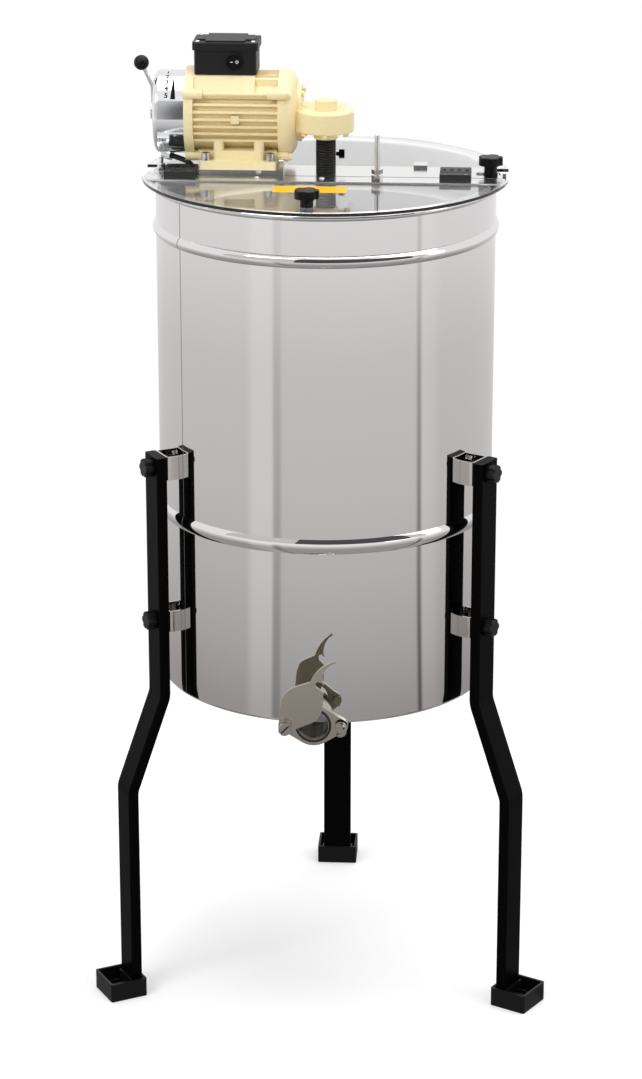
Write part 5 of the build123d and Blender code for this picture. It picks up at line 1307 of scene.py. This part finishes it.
middle, half_long, half_thick = BAR_MARK
outline = [
    (middle - half_long, -half_thick),
    (middle + half_long, -half_thick),
    (middle + half_long, half_thick),
    (middle - half_long, half_thick),
]
vertices, faces = prism(outline, on_rocker, -INK_FILM / 2, INK_FILM)
add_piece("switch_on_mark", vertices, faces, white_ink, "rocker")
middle, outer, inner = RING_MARK
vertices = []
faces = []
for step in range(RING_STEPS):
    turn = 2 * math.pi * step / RING_STEPS
    ring = ((outer, INK_FILM), (inner, INK_FILM), (inner, -INK_FILM / 2), (outer, -INK_FILM / 2))
    for radius, w in ring:
        vertices.append(on_rocker(middle + radius * math.cos(turn), radius * math.sin(turn), w))
    start = 4 * step
    follow = 4 * ((step + 1) % RING_STEPS)
    for corner in range(4):
        after = (corner + 1) % 4
        faces.append((start + corner, start + after, follow + after, follow + corner))
add_piece("switch_off_mark", vertices, faces, white_ink, "rocker")


# Variator: a pressed steel cup, chromium plated, with its speed numbers and wedge printed round the rim.
# A bent rod with a moulded ball sets the speed.

# Chromium plate: a clean blue white mirror with hairline scratches, drawn coarser than they are so that
# they show.
HAIRLINE = 0.002
chrome = lined_metal("chromium_plate", "#E4E6E8", HAIRLINE, detail=4.0, rough=(0.05, 0.14))
dress(chrome, "variator_cup")
dress(satin_steel, "speed_lever")
dress(moulded_black, "lever_ball")

# Black pad printing ink: a thin soft black film, a little worn.
black_ink = clouded_finish(
    "black_printing_ink",
    INK_MOTTLE,
    detail=2.0,
    stops=((0.3, "#080808"), (0.75, "#161616")),
    gloss={"Roughness": 0.7, "Specular IOR Level": 0.1},
)

CUP_RADIUS = 0.0547
SCALE_ANGLES = (77.0, 65.5, 54.0, 43.0, 32.0)
SCALE_X = -0.2085
DIGIT_SIZE = 0.0095
DIGIT_STROKE = 0.0003
low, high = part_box("variator_shield")
axis_y = (low[1] + high[1]) / 2
axis_z = (low[2] + high[2]) / 2


def on_cup(x, angle, w):
    """Point on the cup's rim at an angle up from the front, w out of its face."""
    radius = CUP_RADIUS + w
    return Vector((x, axis_y - radius * math.cos(angle), axis_z + radius * math.sin(angle)))


for number, angle in enumerate(SCALE_ANGLES, 1):
    text = bpy.data.curves.new("speed_number", "FONT")
    text.body = str(number)
    text.size = DIGIT_SIZE
    text.offset = DIGIT_STROKE
    text.align_x = "CENTER"
    text.align_y = "CENTER"
    text.extrude = INK_FILM
    drawn = add_object("speed_number", text)
    mesh = bpy.data.meshes.new_from_object(drawn.evaluated_get(bpy.context.evaluated_depsgraph_get()))
    bpy.data.objects.remove(drawn)
    for vertex in mesh.vertices:
        u, v, w = vertex.co
        vertex.co = on_cup(SCALE_X + u, math.radians(angle) + v / CUP_RADIUS, w)
    mesh.materials.clear()
    mesh.materials.append(black_ink)
    digit = add_object(f"speed_number_{number}", mesh)
    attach(digit, "stand")

WEDGE_X = -0.1995
WEDGE_ANGLES = (27.0, 64.0)
WEDGE_HALF = 0.0033
WEDGE_TIP = 0.0004
WEDGE_STEPS = 12
vertices = []
for step in range(WEDGE_STEPS + 1):
    share = step / WEDGE_STEPS
    angle = math.radians(WEDGE_ANGLES[0] + share * (WEDGE_ANGLES[1] - WEDGE_ANGLES[0]))
    half_width = WEDGE_HALF + share * (WEDGE_TIP - WEDGE_HALF)
    for side, w in ((-1, INK_FILM), (1, INK_FILM), (1, -INK_FILM), (-1, -INK_FILM)):
        vertices.append(on_cup(WEDGE_X + side * half_width, angle, w))
add_piece("speed_wedge", vertices, tube_faces(WEDGE_STEPS + 1), black_ink, "stand")


# Control lead: a short round rubber lead from the variator down into a gland on the crossbar, held at
# both ends. It is one smooth curve.
LEAD_ROUTE = ((-0.206, 0.020, 1.1398), (-0.178, 0.006, 1.1353), (-0.178, 0.006, 1.1283))
LEAD_DIAMETER = 0.007
LEAD_BEVEL = 8
LEAD_STEPS = 24
line = bpy.data.curves.new("rubber_control_lead", "CURVE")
line.dimensions = "3D"
line.bevel_depth = LEAD_DIAMETER / 2
line.bevel_resolution = LEAD_BEVEL
line.resolution_u = LEAD_STEPS
line.use_fill_caps = True
line.materials.append(black_rubber)
spline = line.splines.new("NURBS")
spline.points.add(len(LEAD_ROUTE) - 1)
for point, spot in zip(spline.points, LEAD_ROUTE):
    point.co = (*spot, 1.0)
spline.order_u = 3
spline.use_endpoint_u = True
lead = add_object("rubber_control_lead", line)
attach(lead, "stand")
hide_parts("control_lead")
dress(black_rubber, "lead_gland")
